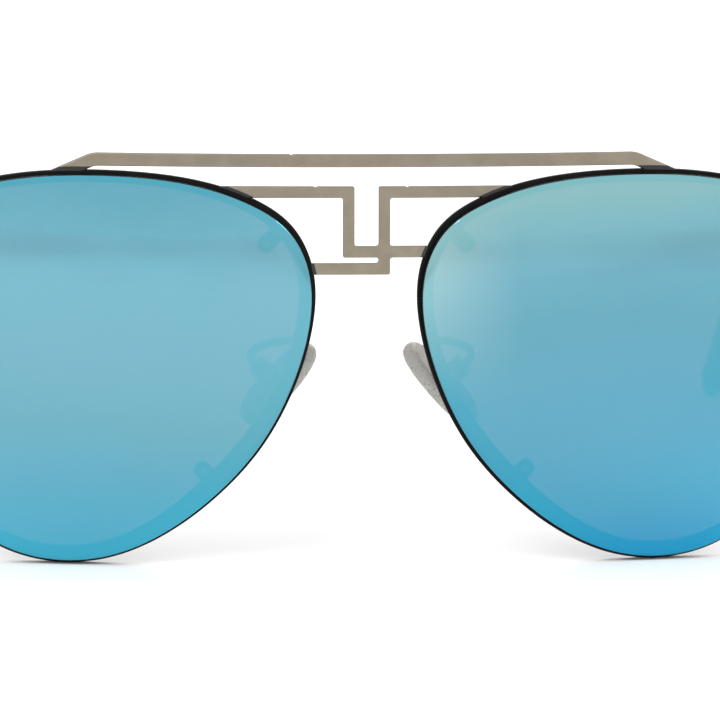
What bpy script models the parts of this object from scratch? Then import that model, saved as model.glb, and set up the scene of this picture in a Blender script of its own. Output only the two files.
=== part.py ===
"""Aviator sunglasses with an openwork bridge, modelled piece by piece.

The front faces -Y and stands on the lowest points of its rims, with +Z up. The wearer's left
is +X. Every sheet part of the front lies between two spheres that share one centre, so the
lenses, the rims and the bars nest. Sizes are in millimetres, and each piece is made in metres.
"""

import math

import bmesh
import bpy
import numpy as np
from mathutils import Matrix, Vector
from mathutils.geometry import interpolate_bezier

MM = 0.001
SIDES = {"left": 1, "right": -1}

# Front: the middle of the lens height is z = 0 in the front's own drawing.
BASE_RADIUS = 265.0
MIDDLE_HEIGHT = 27.6
FRONT_Y = -72.52
LENS_THICKNESS = 1.6
LENS_CHAMFER = 0.15
LENS_GAP = 0.1
SHEET_THICKNESS = 0.9
SHEET_FRONT = LENS_THICKNESS + LENS_GAP
SHEET_BACK = SHEET_FRONT + SHEET_THICKNESS

# Lens outline of the wearer's left side: x, z and the width of the rim band there, from the
# top over the nose side and the bottom to the temple side.
LENS_CENTRE = (37.0, 0.0)
LENS_KNOTS = [
    (36.0, 25.55, 1.7),
    (24.0, 24.45, 1.7),
    (15.9, 21.9, 1.8),
    (10.5, 18.2, 2.0),
    (7.8, 12.6, 2.1),
    (7.7, 5.8, 2.2),
    (10.3, -3.3, 2.4),
    (14.5, -11.1, 2.9),
    (20.3, -17.7, 3.0),
    (27.4, -23.15, 2.7),
    (34.5, -26.3, 2.4),
    (42.0, -27.0, 2.3),
    (49.5, -24.9, 2.2),
    (56.5, -19.0, 2.1),
    (62.5, -10.6, 2.0),
    (66.2, 0.0, 1.9),
    (66.2, 10.0, 1.9),
    (61.2, 19.2, 1.8),
    (50.0, 24.35, 1.7),
]
RIM_OVERHANG = 0.55
RIM_VOID_DEPTHS = (-10.0, 30.0)
RIM_STATIONS = 84
LENS_STATIONS = 72
LENS_RINGS = (0.2, 0.55, 0.88)
BRAZE_GAP = 0.05

# Rivets: each lens sits on four drilled lugs of its rim.
LUG_ANGLES = {
    "upper_temple": 34.0,
    "upper_nose": 144.0,
    "lower_nose": 224.0,
    "lower_temple": 318.0,
}
LUG_INSET = 3.45
LUG_RADIUS = 1.2
LUG_NECK = 0.35
RIVET_RADIUS = 0.35
RIVET_HOLE_RADIUS = 0.45
RIVET_TIP_DEPTH = 0.9
RIVET_HOLE_DEPTH = 0.8
RIVET_HEAD_RADIUS = 0.85
RIVET_HEAD_HEIGHT = 0.35
RIVET_HEAD_GAP = 0.08
RIVET_HEAD_CHAMFER = 0.12

# Bars of the front
BROW_BAR_WIDTH = 1.74
BROW_BAR_Z = 27.5
BROW_BAR_CORNER_X = 36.6
BROW_BAR_END_X = 45.0
BROW_BAR_DROP = math.radians(23.8)
BROW_BAR_CORNER_RADIUS = 3.0
BRIDGE_BAR_WIDTH = 1.54
UPPER_BAR_Z = 23.3
MIDDLE_BAR_Z = 15.3
LOWER_BAR_Z = 13.0
UPRIGHT_X = 2.4
UPPER_BAR_REACH = 24.0
LOWER_BAR_REACH = 12.0
BAR_PITCH = 3.0

# End pieces and hinges
HINGE_X = 68.25
HINGE_Y = 17.9
HINGE_Z = 15.0
TEMPLE_SLOPE = math.radians(6.5)
STRAP_OFFSET = 1.65
STRAP_THICKNESS = 1.0
STRAP_HEIGHT = 3.6
STRAP_END_GAP = 0.08
END_PIECE_ROOT_X = 61.5
END_PIECE_LEG = 5.6
END_PIECE_RADIUS = 1.9
KNUCKLE_RADIUS = 1.05
KNUCKLE_HOLE_RADIUS = 0.5
KNUCKLE_HEIGHT = 1.15
KNUCKLE_GAP = 0.05
KNUCKLE_WEB_OVERLAP = 0.3
LEAF_INNER = 0.7
LEAF_OUTER = 1.1
LEAF_START = 1.25
LEAF_LENGTH = 3.8
LEAF_HEIGHT = 3.2
HINGE_SCREW_RADIUS = 0.42
HINGE_SCREW_HEAD_RADIUS = 0.95
HINGE_SCREW_HEAD_HEIGHT = 0.5
HINGE_SCREW_HEAD_CHAMFER = 0.1
SCREW_END_LENGTH = 0.1

# Temples, along their own length from the hinge
TEMPLE_LENGTH = 140.0
EAR_BEND_START = 92.0
EAR_BEND_RADIUS = 22.0
EAR_BEND_ANGLE = math.radians(42.8)
TIP_TURN_IN = 2.5
CORE_WIRE_START = 80.0
CORE_WIRE_END = 133.0
CORE_WIRE_RADIUS = 0.6
TIP_START = 80.6
TIP_BORE_RADIUS = 0.8
TIP_BORE_SPARE = 0.6
TIP_NOSE_LENGTH = 2.6
TIP_MOUTH_SIZE = (1.3, 1.6)
TIP_SWELL = (0.35, 0.9)
TIP_SQUARENESS = 2.4
STRAP_SQUARENESS = 8.0
TEMPLE_REAR_SQUARENESS = 4.0
TEMPLE_FRONT_HEIGHT = 3.6
TEMPLE_REAR_HEIGHT = 2.0

# Nose pads: each pad is drawn about its screw, with x along the screw, y towards the nose and
# z up the pad.
PAD_PIVOT = (12.95, 12.3, -2.6)
PAD_TILT = math.radians(42.0)
PAD_SPLAY = math.radians(25.0)
PAD_HALF_LENGTH = 7.0
PAD_HALF_WIDTH = 3.4
PAD_LAYERS = ((1.6, 0.84), (2.05, 0.97), (2.7, 1.0), (3.3, 0.95), (3.75, 0.82), (3.95, 0.66))
PAD_SEGMENTS = 24
PAD_SQUARENESS = 2.5
PAD_TAPER = 0.1
POCKET_START = 1.0
POCKET_GAP = 0.1
LUG_PLATE_HALF_LENGTH = 2.5
LUG_PLATE_BACK = 1.75
LUG_PLATE_FACE = 2.2
TONGUE_HALF_WIDTH = 0.5
TONGUE_HALF_HEIGHT = 0.95
TONGUE_END = -0.75
BOX_HALF_WIDTH = 1.15
BOX_HALF_HEIGHT = 1.3
BOX_BACK = -1.7
BOX_FLOOR = -1.15
BOX_MOUTH = 1.0
BOX_SIDE_GAP = 0.06
PAD_SCREW_RADIUS = 0.38
PAD_SCREW_HOLE_RADIUS = 0.46
PAD_SCREW_HEAD_RADIUS = 0.75
PAD_SCREW_HEAD_GAP = 0.04
PAD_SCREW_HEAD_HEIGHT = 0.4
PAD_SCREW_HEAD_CHAMFER = (0.12, 0.1)
ARM_RADIUS = 0.55
ARM_ROOT = (8.75, 3.0)
ARM_REACH = 5.6
ARM_LEAN = (0.8, -0.2)
ARM_GAP = 0.05


# Shapes: each function returns a list of points in millimetres and a list of faces.

def loft(rings, closed=False):
    """Join rings of points into a solid, capped at both ends or closed into a loop."""
    count = len(rings[0])
    points = [tuple(point) for ring in rings for point in ring]
    faces = []
    spans = len(rings) if closed else len(rings) - 1
    for i in range(spans):
        here = i * count
        ahead = (i + 1) % len(rings) * count
        for j in range(count):
            k = (j + 1) % count
            faces.append((here + j, here + k, ahead + k, ahead + j))
    if not closed:
        last = spans * count
        faces.append(tuple(reversed(range(count))))
        faces.append(tuple(range(last, last + count)))
    return points, faces


def prism(outline, low, high):
    """Extrude an outline in x and y between two heights."""
    return loft([[(x, y, height) for x, y in outline] for height in (low, high)])


def turned(profile, sides=16):
    """Turn a profile of radius and height about the z axis."""
    turns = [2 * math.pi * i / sides for i in range(sides)]
    return loft([[(r * math.cos(a), r * math.sin(a), h) for a in turns] for r, h in profile])


def rectangle(low_x, low_y, high_x, high_y):
    return [(low_x, low_y), (high_x, low_y), (high_x, high_y), (low_x, high_y)]


def placed(shape, matrix):
    """Move a shape by a matrix."""
    points, faces = shape
    return [tuple(matrix @ Vector(point)) for point in points], faces


def gathered(shapes):
    """Put several shapes into one, as separate solids."""
    points = []
    faces = []
    for new_points, new_faces in shapes:
        start = len(points)
        points.extend(new_points)
        faces.extend(tuple(start + i for i in face) for face in new_faces)
    return points, faces


def rounded_path(points, radius, steps):
    """Replace each inner corner of a path by an arc of the given radius."""
    path = [Vector(points[0])]
    for before, corner, after in zip(points, points[1:], points[2:]):
        corner = Vector(corner)
        back = (Vector(before) - corner).normalized()
        ahead = (Vector(after) - corner).normalized()
        half = back.angle(ahead) / 2
        centre = corner + (back + ahead).normalized() * radius / math.sin(half)
        start = corner + back * radius / math.tan(half)
        end = corner + ahead * radius / math.tan(half)
        for i in range(steps + 1):
            spoke = (start - centre).slerp(end - centre, i / steps)
            path.append(centre + spoke.normalized() * radius)
    path.append(Vector(points[-1]))
    return path


def subdivided(path, pitch):
    """Add points along a path, so that no step is longer than the pitch."""
    fine = []
    for here, ahead in zip(path, path[1:]):
        steps = max(1, math.ceil((ahead - here).length / pitch))
        fine.extend(here.lerp(ahead, i / steps) for i in range(steps))
    fine.append(path[-1])
    return fine


def path_directions(path):
    """Return the direction of travel at each point of a path."""
    forward = []
    for i in range(len(path)):
        before = path[max(i - 1, 0)]
        after = path[min(i + 1, len(path) - 1)]
        forward.append((after - before).normalized())
    return forward


def swept(path, section_at, flip=False):
    """Sweep a section along a path, with the section's second coordinate kept upright."""
    rings = []
    for i, (point, forward) in enumerate(zip(path, path_directions(path))):
        across = forward.cross(Vector((0, 0, 1))).normalized()
        upright = across.cross(forward)
        rings.append([point + across * u + upright * v for u, v in section_at(i)])
    return list(reversed(rings)) if flip else rings


def round_section(half_width, half_height, sides, power=2.0):
    """Return a section between an ellipse (power 2) and a rectangle with round corners."""
    section = []
    for i in range(sides):
        angle = 2 * math.pi * (i + 0.5) / sides
        c = math.cos(angle)
        s = math.sin(angle)
        u = math.copysign(abs(c) ** (2 / power), c) * half_width
        v = math.copysign(abs(s) ** (2 / power), s) * half_height
        section.append((u, v))
    return section


# The curved front

def on_front(x, z, depth):
    """Place a point of the front, given its depth behind the lens faces."""
    radius = BASE_RADIUS - depth
    y = BASE_RADIUS - math.sqrt(radius ** 2 - x ** 2 - z ** 2)
    return x, y, z + MIDDLE_HEIGHT


def front_matrix(x, z):
    """Return the place of a point of the front, with z pointing out of the lens face."""
    centre = Vector((0, BASE_RADIUS, MIDDLE_HEIGHT))
    outward = (Vector(on_front(x, z, 0)) - centre).normalized()
    turn = outward.to_track_quat("Z", "Y").to_matrix().to_4x4()
    return Matrix.Translation(Vector(on_front(x, z, 0))) @ turn


def closed_spline(knots, steps):
    """Sample the smooth closed curve through the knots, with the same number of steps each."""
    knots = np.array(knots)
    ahead = np.roll(knots, -1, axis=0)
    spans = np.linalg.norm((ahead - knots)[:, :2], axis=1)
    count = len(knots)
    system = np.zeros((count, count))
    target = np.zeros_like(knots)
    for i in range(count):
        before = spans[i - 1]
        after = spans[i]
        system[i, i - 1] = after
        system[i, i] = 2 * (before + after)
        system[i, (i + 1) % count] = before
        target[i] = 3 * before / after * (ahead[i] - knots[i])
        target[i] += 3 * after / before * (knots[i] - knots[i - 1])
    slopes = np.linalg.solve(system, target)
    curve = []
    for i in range(count):
        for t in np.arange(steps) / steps:
            start = (1 + 2 * t) * (1 - t) ** 2 * knots[i]
            end = t ** 2 * (3 - 2 * t) * ahead[i]
            leave = t * (1 - t) ** 2 * spans[i] * slopes[i]
            arrive = t ** 2 * (t - 1) * spans[i] * slopes[(i + 1) % count]
            curve.append(start + end + leave + arrive)
    return np.array(curve)


class Outline:
    """The lens outline, read by the distance travelled along it."""

    def __init__(self, knots):
        curve = closed_spline(knots, 24)
        self.curve = np.vstack([curve, curve[:1]])
        steps = np.linalg.norm(np.diff(self.curve[:, :2], axis=0), axis=1)
        self.travel = np.concatenate([[0.0], np.cumsum(steps)])
        self.length = self.travel[-1]

    def read(self, distance):
        wrapped = distance % self.length
        return np.array([np.interp(wrapped, self.travel, column) for column in self.curve.T])

    def at(self, distance):
        """Return the point, the inward direction and the width of the rim band."""
        x, z, band = self.read(distance)
        ahead = (self.read(distance + 0.3) - self.read(distance - 0.3))[:2]
        ahead /= np.linalg.norm(ahead)
        return np.array([x, z]), np.array([-ahead[1], ahead[0]]), band

    def even(self, count):
        return [self.length * i / count for i in range(count)]

    def distance_at(self, degrees):
        """Return the distance where the outline crosses a direction from the lens centre."""
        spokes = self.curve[:, :2] - np.array(LENS_CENTRE)
        angles = np.degrees(np.arctan2(spokes[:, 1], spokes[:, 0]))
        misses = np.abs((angles - degrees + 180) % 360 - 180)
        return self.travel[int(np.argmin(misses))]


OUTLINE = Outline(LENS_KNOTS)


def lug_centre(angle):
    point, inward, _ = OUTLINE.at(OUTLINE.distance_at(angle))
    return point + inward * LUG_INSET


def rim_edges():
    """List matching outer and inner points around the rim, with a round lug at each rivet."""
    half_step = OUTLINE.length / RIM_STATIONS / 2
    neck = LUG_RADIUS + LUG_NECK
    lugs = [OUTLINE.distance_at(angle) for angle in LUG_ANGLES.values()]
    stations = []
    for distance in OUTLINE.even(RIM_STATIONS):
        if min(abs(distance - lug) for lug in lugs) > neck + half_step:
            point, inward, band = OUTLINE.at(distance)
            stations.append((distance, point + inward * (band - RIM_OVERHANG)))
    for lug in lugs:
        middle, to_centre, _ = OUTLINE.at(lug)
        centre = middle + to_centre * LUG_INSET
        along = np.array([to_centre[1], -to_centre[0]])
        for step in (-neck, neck):
            point, inward, band = OUTLINE.at(lug + step)
            stations.append((lug + step, point + inward * (band - RIM_OVERHANG)))
        for degrees in range(-90, 91, 30):
            sine = math.sin(math.radians(degrees))
            cosine = math.cos(math.radians(degrees))
            edge = centre + (along * sine + to_centre * cosine) * LUG_RADIUS
            stations.append((lug + sine * LUG_RADIUS, edge))
    stations.sort(key=lambda station: station[0])
    edges = []
    for distance, inner in stations:
        point, inward, _ = OUTLINE.at(distance)
        edges.append((point - inward * RIM_OVERHANG, inner))
    return edges


def sheet_section(first, second):
    """List the corners between two edge points through the sheet, each with its depth."""
    front = [(first, SHEET_FRONT), (second, SHEET_FRONT)]
    back = [(second, SHEET_BACK), (first, SHEET_BACK)]
    return front + back


def rim_shape(side):
    rings = []
    for outer, inner in rim_edges():
        corners = sheet_section(outer, inner)
        rings.append([on_front(side * x, z, depth) for (x, z), depth in corners])
    return loft(rings, closed=True)


def rim_void_shape(side):
    """Fill the rim's outline through the whole depth of the front, with the brazing gap."""
    outline = []
    for distance in OUTLINE.even(2 * LENS_STATIONS):
        point, inward, _ = OUTLINE.at(distance)
        x, z = point - inward * (RIM_OVERHANG + BRAZE_GAP)
        outline.append((side * x, z + MIDDLE_HEIGHT))
    return loft([[(x, y, z) for x, z in outline] for y in RIM_VOID_DEPTHS])


def lens_shape(side):
    """Loft the lens as rings of its outline, over the front face, the edge and the back face."""
    edge = [OUTLINE.at(distance)[:2] for distance in OUTLINE.even(LENS_STATIONS)]
    centre = np.array(LENS_CENTRE)
    chamfered = [point + inward * LENS_CHAMFER for point, inward in edge]
    plain = [point for point, _ in edge]
    layers = [([centre + (p - centre) * share for p in plain], 0.0) for share in LENS_RINGS]
    layers.append((chamfered, 0.0))
    layers.append((plain, LENS_CHAMFER))
    layers.append((plain, LENS_THICKNESS))
    for share in reversed(LENS_RINGS):
        layers.append(([centre + (p - centre) * share for p in plain], LENS_THICKNESS))
    return loft([[on_front(side * x, z, depth) for x, z in ring] for ring, depth in layers])


def rivet_matrix(angle, side):
    x, z = lug_centre(angle)
    return front_matrix(side * x, z)


def rivet_shape():
    """Turn a rivet with its head behind the rim and its tip inside the lens."""
    head_top = -SHEET_BACK - RIVET_HEAD_GAP
    head_bottom = head_top - RIVET_HEAD_HEIGHT
    profile = [
        (RIVET_HEAD_RADIUS * 0.7, head_bottom),
        (RIVET_HEAD_RADIUS, head_bottom + RIVET_HEAD_CHAMFER),
        (RIVET_HEAD_RADIUS, head_top),
        (RIVET_RADIUS, head_top),
        (RIVET_RADIUS, -RIVET_TIP_DEPTH),
    ]
    return turned(profile, 12)


def rivet_hole_shapes(side):
    profile = [(RIVET_HOLE_RADIUS, -SHEET_BACK - 1.0), (RIVET_HOLE_RADIUS, -RIVET_HOLE_DEPTH)]
    holes = [placed(turned(profile), rivet_matrix(angle, side)) for angle in LUG_ANGLES.values()]
    return gathered(holes)


def brow_bar_shape():
    """Sweep the brow bar's straight run and its two sloping ends."""
    end_z = BROW_BAR_Z - (BROW_BAR_END_X - BROW_BAR_CORNER_X) * math.tan(BROW_BAR_DROP)
    corners = [
        (-BROW_BAR_END_X, end_z, 0),
        (-BROW_BAR_CORNER_X, BROW_BAR_Z, 0),
        (BROW_BAR_CORNER_X, BROW_BAR_Z, 0),
        (BROW_BAR_END_X, end_z, 0),
    ]
    path = subdivided(rounded_path(corners, BROW_BAR_CORNER_RADIUS, 3), BAR_PITCH)
    rings = []
    for point, forward in zip(path, path_directions(path)):
        across = Vector((-forward.y, forward.x, 0)) * BROW_BAR_WIDTH / 2
        top = point + across
        bottom = point - across
        rings.append([on_front(p.x, p.y, depth) for p, depth in sheet_section(top, bottom)])
    return loft(rings)


def bridge_rectangles():
    """List the bridge's bars, which interlock: each upper bar drops to a lower one."""
    half = BRIDGE_BAR_WIDTH / 2
    top = UPPER_BAR_Z + half
    outer = UPRIGHT_X + half
    inner = UPRIGHT_X - half
    return [
        (-UPPER_BAR_REACH, UPPER_BAR_Z - half, -inner, top),
        (inner, UPPER_BAR_Z - half, UPPER_BAR_REACH, top),
        (-outer, MIDDLE_BAR_Z - half, -inner, top),
        (inner, LOWER_BAR_Z - half, outer, top),
        (-outer, MIDDLE_BAR_Z - half, LOWER_BAR_REACH, MIDDLE_BAR_Z + half),
        (-LOWER_BAR_REACH, LOWER_BAR_Z - half, outer, LOWER_BAR_Z + half),
    ]


def grid_lines(values, pitch):
    """Return the sorted values, with more lines where two are further apart than the pitch."""
    edges = [Vector((value, 0)) for value in sorted(set(values))]
    return [line.x for line in subdivided(edges, pitch)]


def bridge_shape():
    """Build the bridge as one sheet from the cells that its rectangles cover."""
    rectangles = bridge_rectangles()
    xs = grid_lines([value for box in rectangles for value in (box[0], box[2])], BAR_PITCH)
    zs = grid_lines([value for box in rectangles for value in (box[1], box[3])], 2 * BAR_PITCH)

    def covered(i, j):
        if not (0 <= i < len(xs) - 1 and 0 <= j < len(zs) - 1):
            return False
        x = (xs[i] + xs[i + 1]) / 2
        z = (zs[j] + zs[j + 1]) / 2
        return any(
            low_x < x < high_x and low_z < z < high_z
            for low_x, low_z, high_x, high_z in rectangles
        )

    numbers = {}
    points = []

    def corner(i, j, depth):
        key = (i, j, depth)
        if key not in numbers:
            numbers[key] = len(points)
            points.append(on_front(xs[i], zs[j], depth))
        return numbers[key]

    faces = []
    for i in range(len(xs) - 1):
        for j in range(len(zs) - 1):
            if not covered(i, j):
                continue
            ring = [(i, j), (i + 1, j), (i + 1, j + 1), (i, j + 1)]
            neighbours = [(i, j - 1), (i + 1, j), (i, j + 1), (i - 1, j)]
            for depth in (SHEET_FRONT, SHEET_BACK):
                faces.append(tuple(corner(a, b, depth) for a, b in ring))
            for k, neighbour in enumerate(neighbours):
                if not covered(*neighbour):
                    start = ring[k]
                    end = ring[(k + 1) % 4]
                    wall = sheet_section(start, end)
                    faces.append(tuple(corner(*place, depth) for place, depth in wall))
    return points, faces


# End pieces and hinges

def end_piece_shape(side):
    """Sweep a strap from the rim's edge outwards and back to the hinge."""
    back = Vector((0, math.cos(TEMPLE_SLOPE), -math.sin(TEMPLE_SLOPE)))
    hinge = Vector((HINGE_X + STRAP_OFFSET, HINGE_Y, HINGE_Z + MIDDLE_HEIGHT))
    end = hinge - back * STRAP_END_GAP
    corner = end - back * END_PIECE_LEG
    _, root_y, _ = on_front(END_PIECE_ROOT_X, HINGE_Z, (SHEET_FRONT + SHEET_BACK) / 2)
    root = Vector((END_PIECE_ROOT_X, root_y, corner.z))
    path = rounded_path([root, corner, end], END_PIECE_RADIUS, 6)
    section = round_section(STRAP_THICKNESS / 2, STRAP_HEIGHT / 2, 12, STRAP_SQUARENESS)
    rings = swept(path, lambda i: section)
    return loft([[(side * p.x, p.y, p.z) for p in ring] for ring in rings])


def leaf_shape(side, towards):
    """Make a hinge leaf on the front (towards -1) or on the temple (towards 1)."""
    near = towards * LEAF_START
    far = towards * LEAF_LENGTH
    outline = rectangle(side * LEAF_INNER, near, side * LEAF_OUTER, far)
    return prism(outline, -LEAF_HEIGHT / 2, LEAF_HEIGHT / 2)


def knuckle_shape(side, towards, low, high):
    """Make a knuckle about the hinge axis, with a web that reaches its leaf."""
    web_inner = KNUCKLE_RADIUS / 2
    last = 2 * math.pi - math.acos(0.5)
    steps = 12
    outline = []
    for i in range(steps + 1):
        angle = last * i / steps
        outline.append((KNUCKLE_RADIUS * math.cos(angle), KNUCKLE_RADIUS * math.sin(angle)))
    web_end = -LEAF_START - KNUCKLE_WEB_OVERLAP
    outline.append((web_inner, web_end))
    outline.append((KNUCKLE_RADIUS, web_end))
    return prism([(side * x, -towards * y) for x, y in outline], low, high)


def hinge_screw_shape():
    top = 1.5 * KNUCKLE_HEIGHT + KNUCKLE_GAP
    head_top = top + HINGE_SCREW_HEAD_HEIGHT
    profile = [
        (HINGE_SCREW_RADIUS, -top - SCREW_END_LENGTH),
        (HINGE_SCREW_RADIUS, top + KNUCKLE_GAP),
        (HINGE_SCREW_HEAD_RADIUS, top + KNUCKLE_GAP),
        (HINGE_SCREW_HEAD_RADIUS, head_top - HINGE_SCREW_HEAD_CHAMFER),
        (HINGE_SCREW_HEAD_RADIUS - HINGE_SCREW_HEAD_CHAMFER, head_top),
    ]
    return turned(profile)


# Temples

def temple_point(distance):
    """Return the middle of the temple at a distance from the hinge, on the wearer's left."""
    straight = min(distance, EAR_BEND_START)
    turned_by = min(max(distance - EAR_BEND_START, 0) / EAR_BEND_RADIUS, EAR_BEND_ANGLE)
    rest = max(distance - EAR_BEND_START - EAR_BEND_RADIUS * EAR_BEND_ANGLE, 0)
    y = straight + EAR_BEND_RADIUS * math.sin(turned_by) + rest * math.cos(turned_by)
    z = -EAR_BEND_RADIUS * (1 - math.cos(turned_by)) - rest * math.sin(turned_by)
    inward = max(distance - EAR_BEND_START, 0) / (TEMPLE_LENGTH - EAR_BEND_START)
    return Vector((STRAP_OFFSET - TIP_TURN_IN * inward ** 2, y, z))


def temple_distances(start, end):
    """List distances along a temple, close together round the ear bend."""
    stops = [0, 30, 60, 84]
    stops += [EAR_BEND_START + 3.5 * i for i in range(5)]
    stops += [114, 122, 130]
    return [start] + [stop for stop in stops if start + 1 < stop < end - 1] + [end]


def temple_section(distance):
    """Return the temple's section: a flat bar that tapers, then a round core wire."""
    if distance > CORE_WIRE_START:
        return round_section(CORE_WIRE_RADIUS, CORE_WIRE_RADIUS, 12)
    taper = distance / CORE_WIRE_START
    height = TEMPLE_FRONT_HEIGHT + (TEMPLE_REAR_HEIGHT - TEMPLE_FRONT_HEIGHT) * taper
    power = STRAP_SQUARENESS + (TEMPLE_REAR_SQUARENESS - STRAP_SQUARENESS) * taper
    return round_section(STRAP_THICKNESS / 2, height / 2, 12, power)


def temple_shape(side):
    shoulder = CORE_WIRE_START + 0.4
    distances = temple_distances(STRAP_END_GAP, CORE_WIRE_START)
    distances += temple_distances(shoulder, CORE_WIRE_END)
    path = [temple_point(distance) for distance in distances]
    rings = swept(path, lambda i: temple_section(distances[i]))
    return loft([[(side * p.x, p.y, p.z) for p in ring] for ring in rings])


def tip_size(distance):
    """Return the half width and half height of a temple tip, which ends in a round nose."""
    along = (distance - TIP_START) / (TEMPLE_LENGTH - TIP_START)
    swell = 1 - (1 - along) ** 2
    left = min((TEMPLE_LENGTH - distance) / TIP_NOSE_LENGTH, 1.0)
    closing = math.sqrt(max(1 - (1 - left) ** 2, 0.1))
    half_width, half_height = (a + b * swell for a, b in zip(TIP_MOUTH_SIZE, TIP_SWELL))
    return half_width * closing, half_height * closing


def temple_tip_shape(side):
    """Loft a tip from the end of its bore to its mouth, and back over its outside."""
    inside = temple_distances(TIP_START, CORE_WIRE_END + TIP_BORE_SPARE)
    outside = temple_distances(TIP_START, TEMPLE_LENGTH - TIP_NOSE_LENGTH)
    outside += [TEMPLE_LENGTH - 1.4, TEMPLE_LENGTH - 0.6, TEMPLE_LENGTH]
    bore = round_section(TIP_BORE_RADIUS, TIP_BORE_RADIUS, 12)
    sections = [round_section(*tip_size(d), 12, TIP_SQUARENESS) for d in outside]
    rings = swept([temple_point(d) for d in inside], lambda i: bore, flip=True)
    rings += swept([temple_point(d) for d in outside], lambda i: sections[i])
    return loft([[(side * p.x, p.y, p.z) for p in ring] for ring in rings])


# Nose pads

def pad_axes(side):
    """Return the pad's screw direction, its direction to the nose and its upward direction."""
    down = Vector((side * math.sin(PAD_TILT), 0, -math.cos(PAD_TILT)))
    inward = Vector((-side * math.cos(PAD_TILT), 0, -math.sin(PAD_TILT)))
    facing = inward * math.cos(PAD_SPLAY) + Vector((0, math.sin(PAD_SPLAY), 0))
    return down.cross(facing), facing, -down


def pad_matrix(side):
    screw, facing, up = pad_axes(side)
    x, y, z = PAD_PIVOT
    turn = Matrix((screw, facing, up)).transposed().to_4x4()
    return Matrix.Translation(Vector((side * x, y, z + MIDDLE_HEIGHT))) @ turn


def nose_pad_shape():
    """Stack oval layers, wider below, from the pad's back to its flat bearing face."""
    rings = []
    for height, share in PAD_LAYERS:
        length = PAD_HALF_LENGTH - PAD_HALF_WIDTH * (1 - share)
        ring = round_section(PAD_HALF_WIDTH * share, length, PAD_SEGMENTS, PAD_SQUARENESS)
        rings.append([(x * (1 - PAD_TAPER * z / length), height, z) for x, z in ring])
    return loft(rings)


def cross_shape(outline, half_width):
    """Extrude an outline in y and z across the pad."""
    return loft([[(x, y, z) for y, z in outline] for x in (-half_width, half_width)])


def pad_pocket_shape():
    """Make the pocket in the pad's back that its metal lug fills."""
    half = LUG_PLATE_HALF_LENGTH + POCKET_GAP
    outline = rectangle(POCKET_START, -half, LUG_PLATE_FACE + POCKET_GAP, half)
    return cross_shape(outline, TONGUE_HALF_WIDTH + POCKET_GAP)


def pad_lug_shape():
    """Make the lug: a plate in the pad and a tongue that the screw passes through."""
    outline = [
        (TONGUE_END, -TONGUE_HALF_HEIGHT),
        (LUG_PLATE_BACK, -TONGUE_HALF_HEIGHT),
        (LUG_PLATE_BACK, -LUG_PLATE_HALF_LENGTH),
        (LUG_PLATE_FACE, -LUG_PLATE_HALF_LENGTH),
        (LUG_PLATE_FACE, LUG_PLATE_HALF_LENGTH),
        (LUG_PLATE_BACK, LUG_PLATE_HALF_LENGTH),
        (LUG_PLATE_BACK, TONGUE_HALF_HEIGHT),
        (TONGUE_END, TONGUE_HALF_HEIGHT),
    ]
    return cross_shape(outline, TONGUE_HALF_WIDTH)


def pad_box_shape():
    """Make the open box that holds the tongue between its two cheeks."""
    cheek = TONGUE_HALF_WIDTH + BOX_SIDE_GAP
    outline = [
        (-BOX_HALF_WIDTH, BOX_BACK),
        (BOX_HALF_WIDTH, BOX_BACK),
        (BOX_HALF_WIDTH, BOX_MOUTH),
        (cheek, BOX_MOUTH),
        (cheek, BOX_FLOOR),
        (-cheek, BOX_FLOOR),
        (-cheek, BOX_MOUTH),
        (-BOX_HALF_WIDTH, BOX_MOUTH),
    ]
    return prism(outline, -BOX_HALF_HEIGHT, BOX_HALF_HEIGHT)


def pad_screw_shape(side):
    """Turn a screw whose head is at the wearer's end of its box."""
    head_bottom = BOX_HALF_WIDTH + PAD_SCREW_HEAD_GAP
    head_top = head_bottom + PAD_SCREW_HEAD_HEIGHT
    inset, drop = PAD_SCREW_HEAD_CHAMFER
    profile = [
        (PAD_SCREW_RADIUS, -BOX_HALF_WIDTH - SCREW_END_LENGTH),
        (PAD_SCREW_RADIUS, head_bottom),
        (PAD_SCREW_HEAD_RADIUS, head_bottom),
        (PAD_SCREW_HEAD_RADIUS, head_top - drop),
        (PAD_SCREW_HEAD_RADIUS - inset, head_top),
    ]
    return placed(turned(profile), Matrix.Rotation(side * math.pi / 2, 4, "Y"))


def pad_screw_hole_shape():
    reach = BOX_HALF_WIDTH + 1.0
    hole = turned([(PAD_SCREW_HOLE_RADIUS, -reach), (PAD_SCREW_HOLE_RADIUS, reach)])
    return placed(hole, Matrix.Rotation(math.pi / 2, 4, "Y"))


def pad_arm_shape(side):
    """Bend a wire from the back of the rim, outwards and round to the back of the box."""
    x, z = ARM_ROOT
    start = Vector(on_front(side * x, z, SHEET_BACK)) + Vector((0, 3 * ARM_GAP, 0))
    place = pad_matrix(side)
    end = place @ Vector((0, BOX_BACK - ARM_GAP, 0))
    out, down = ARM_LEAN
    leave = start + Vector((side * out, ARM_REACH, down))
    arrive = place @ Vector((0, BOX_BACK - ARM_GAP - ARM_REACH, 0))
    path = interpolate_bezier(start, leave, arrive, end, 15)
    section = round_section(ARM_RADIUS, ARM_RADIUS, 8)
    return loft(swept(path, lambda i: section))


# The scene

def clear_scene():
    for item in list(bpy.data.objects):
        bpy.data.objects.remove(item, do_unlink=True)


def new_finish(name, colour, roughness, metallic, alpha=1.0):
    finish = bpy.data.materials.new(name)
    finish.use_nodes = True
    shader = finish.node_tree.nodes["Principled BSDF"]
    shader.inputs["Base Color"].default_value = (*colour, 1.0)
    shader.inputs["Roughness"].default_value = roughness
    shader.inputs["Metallic"].default_value = metallic
    shader.inputs["Alpha"].default_value = alpha
    finish.diffuse_color = (*colour, 1.0)
    return finish


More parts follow.
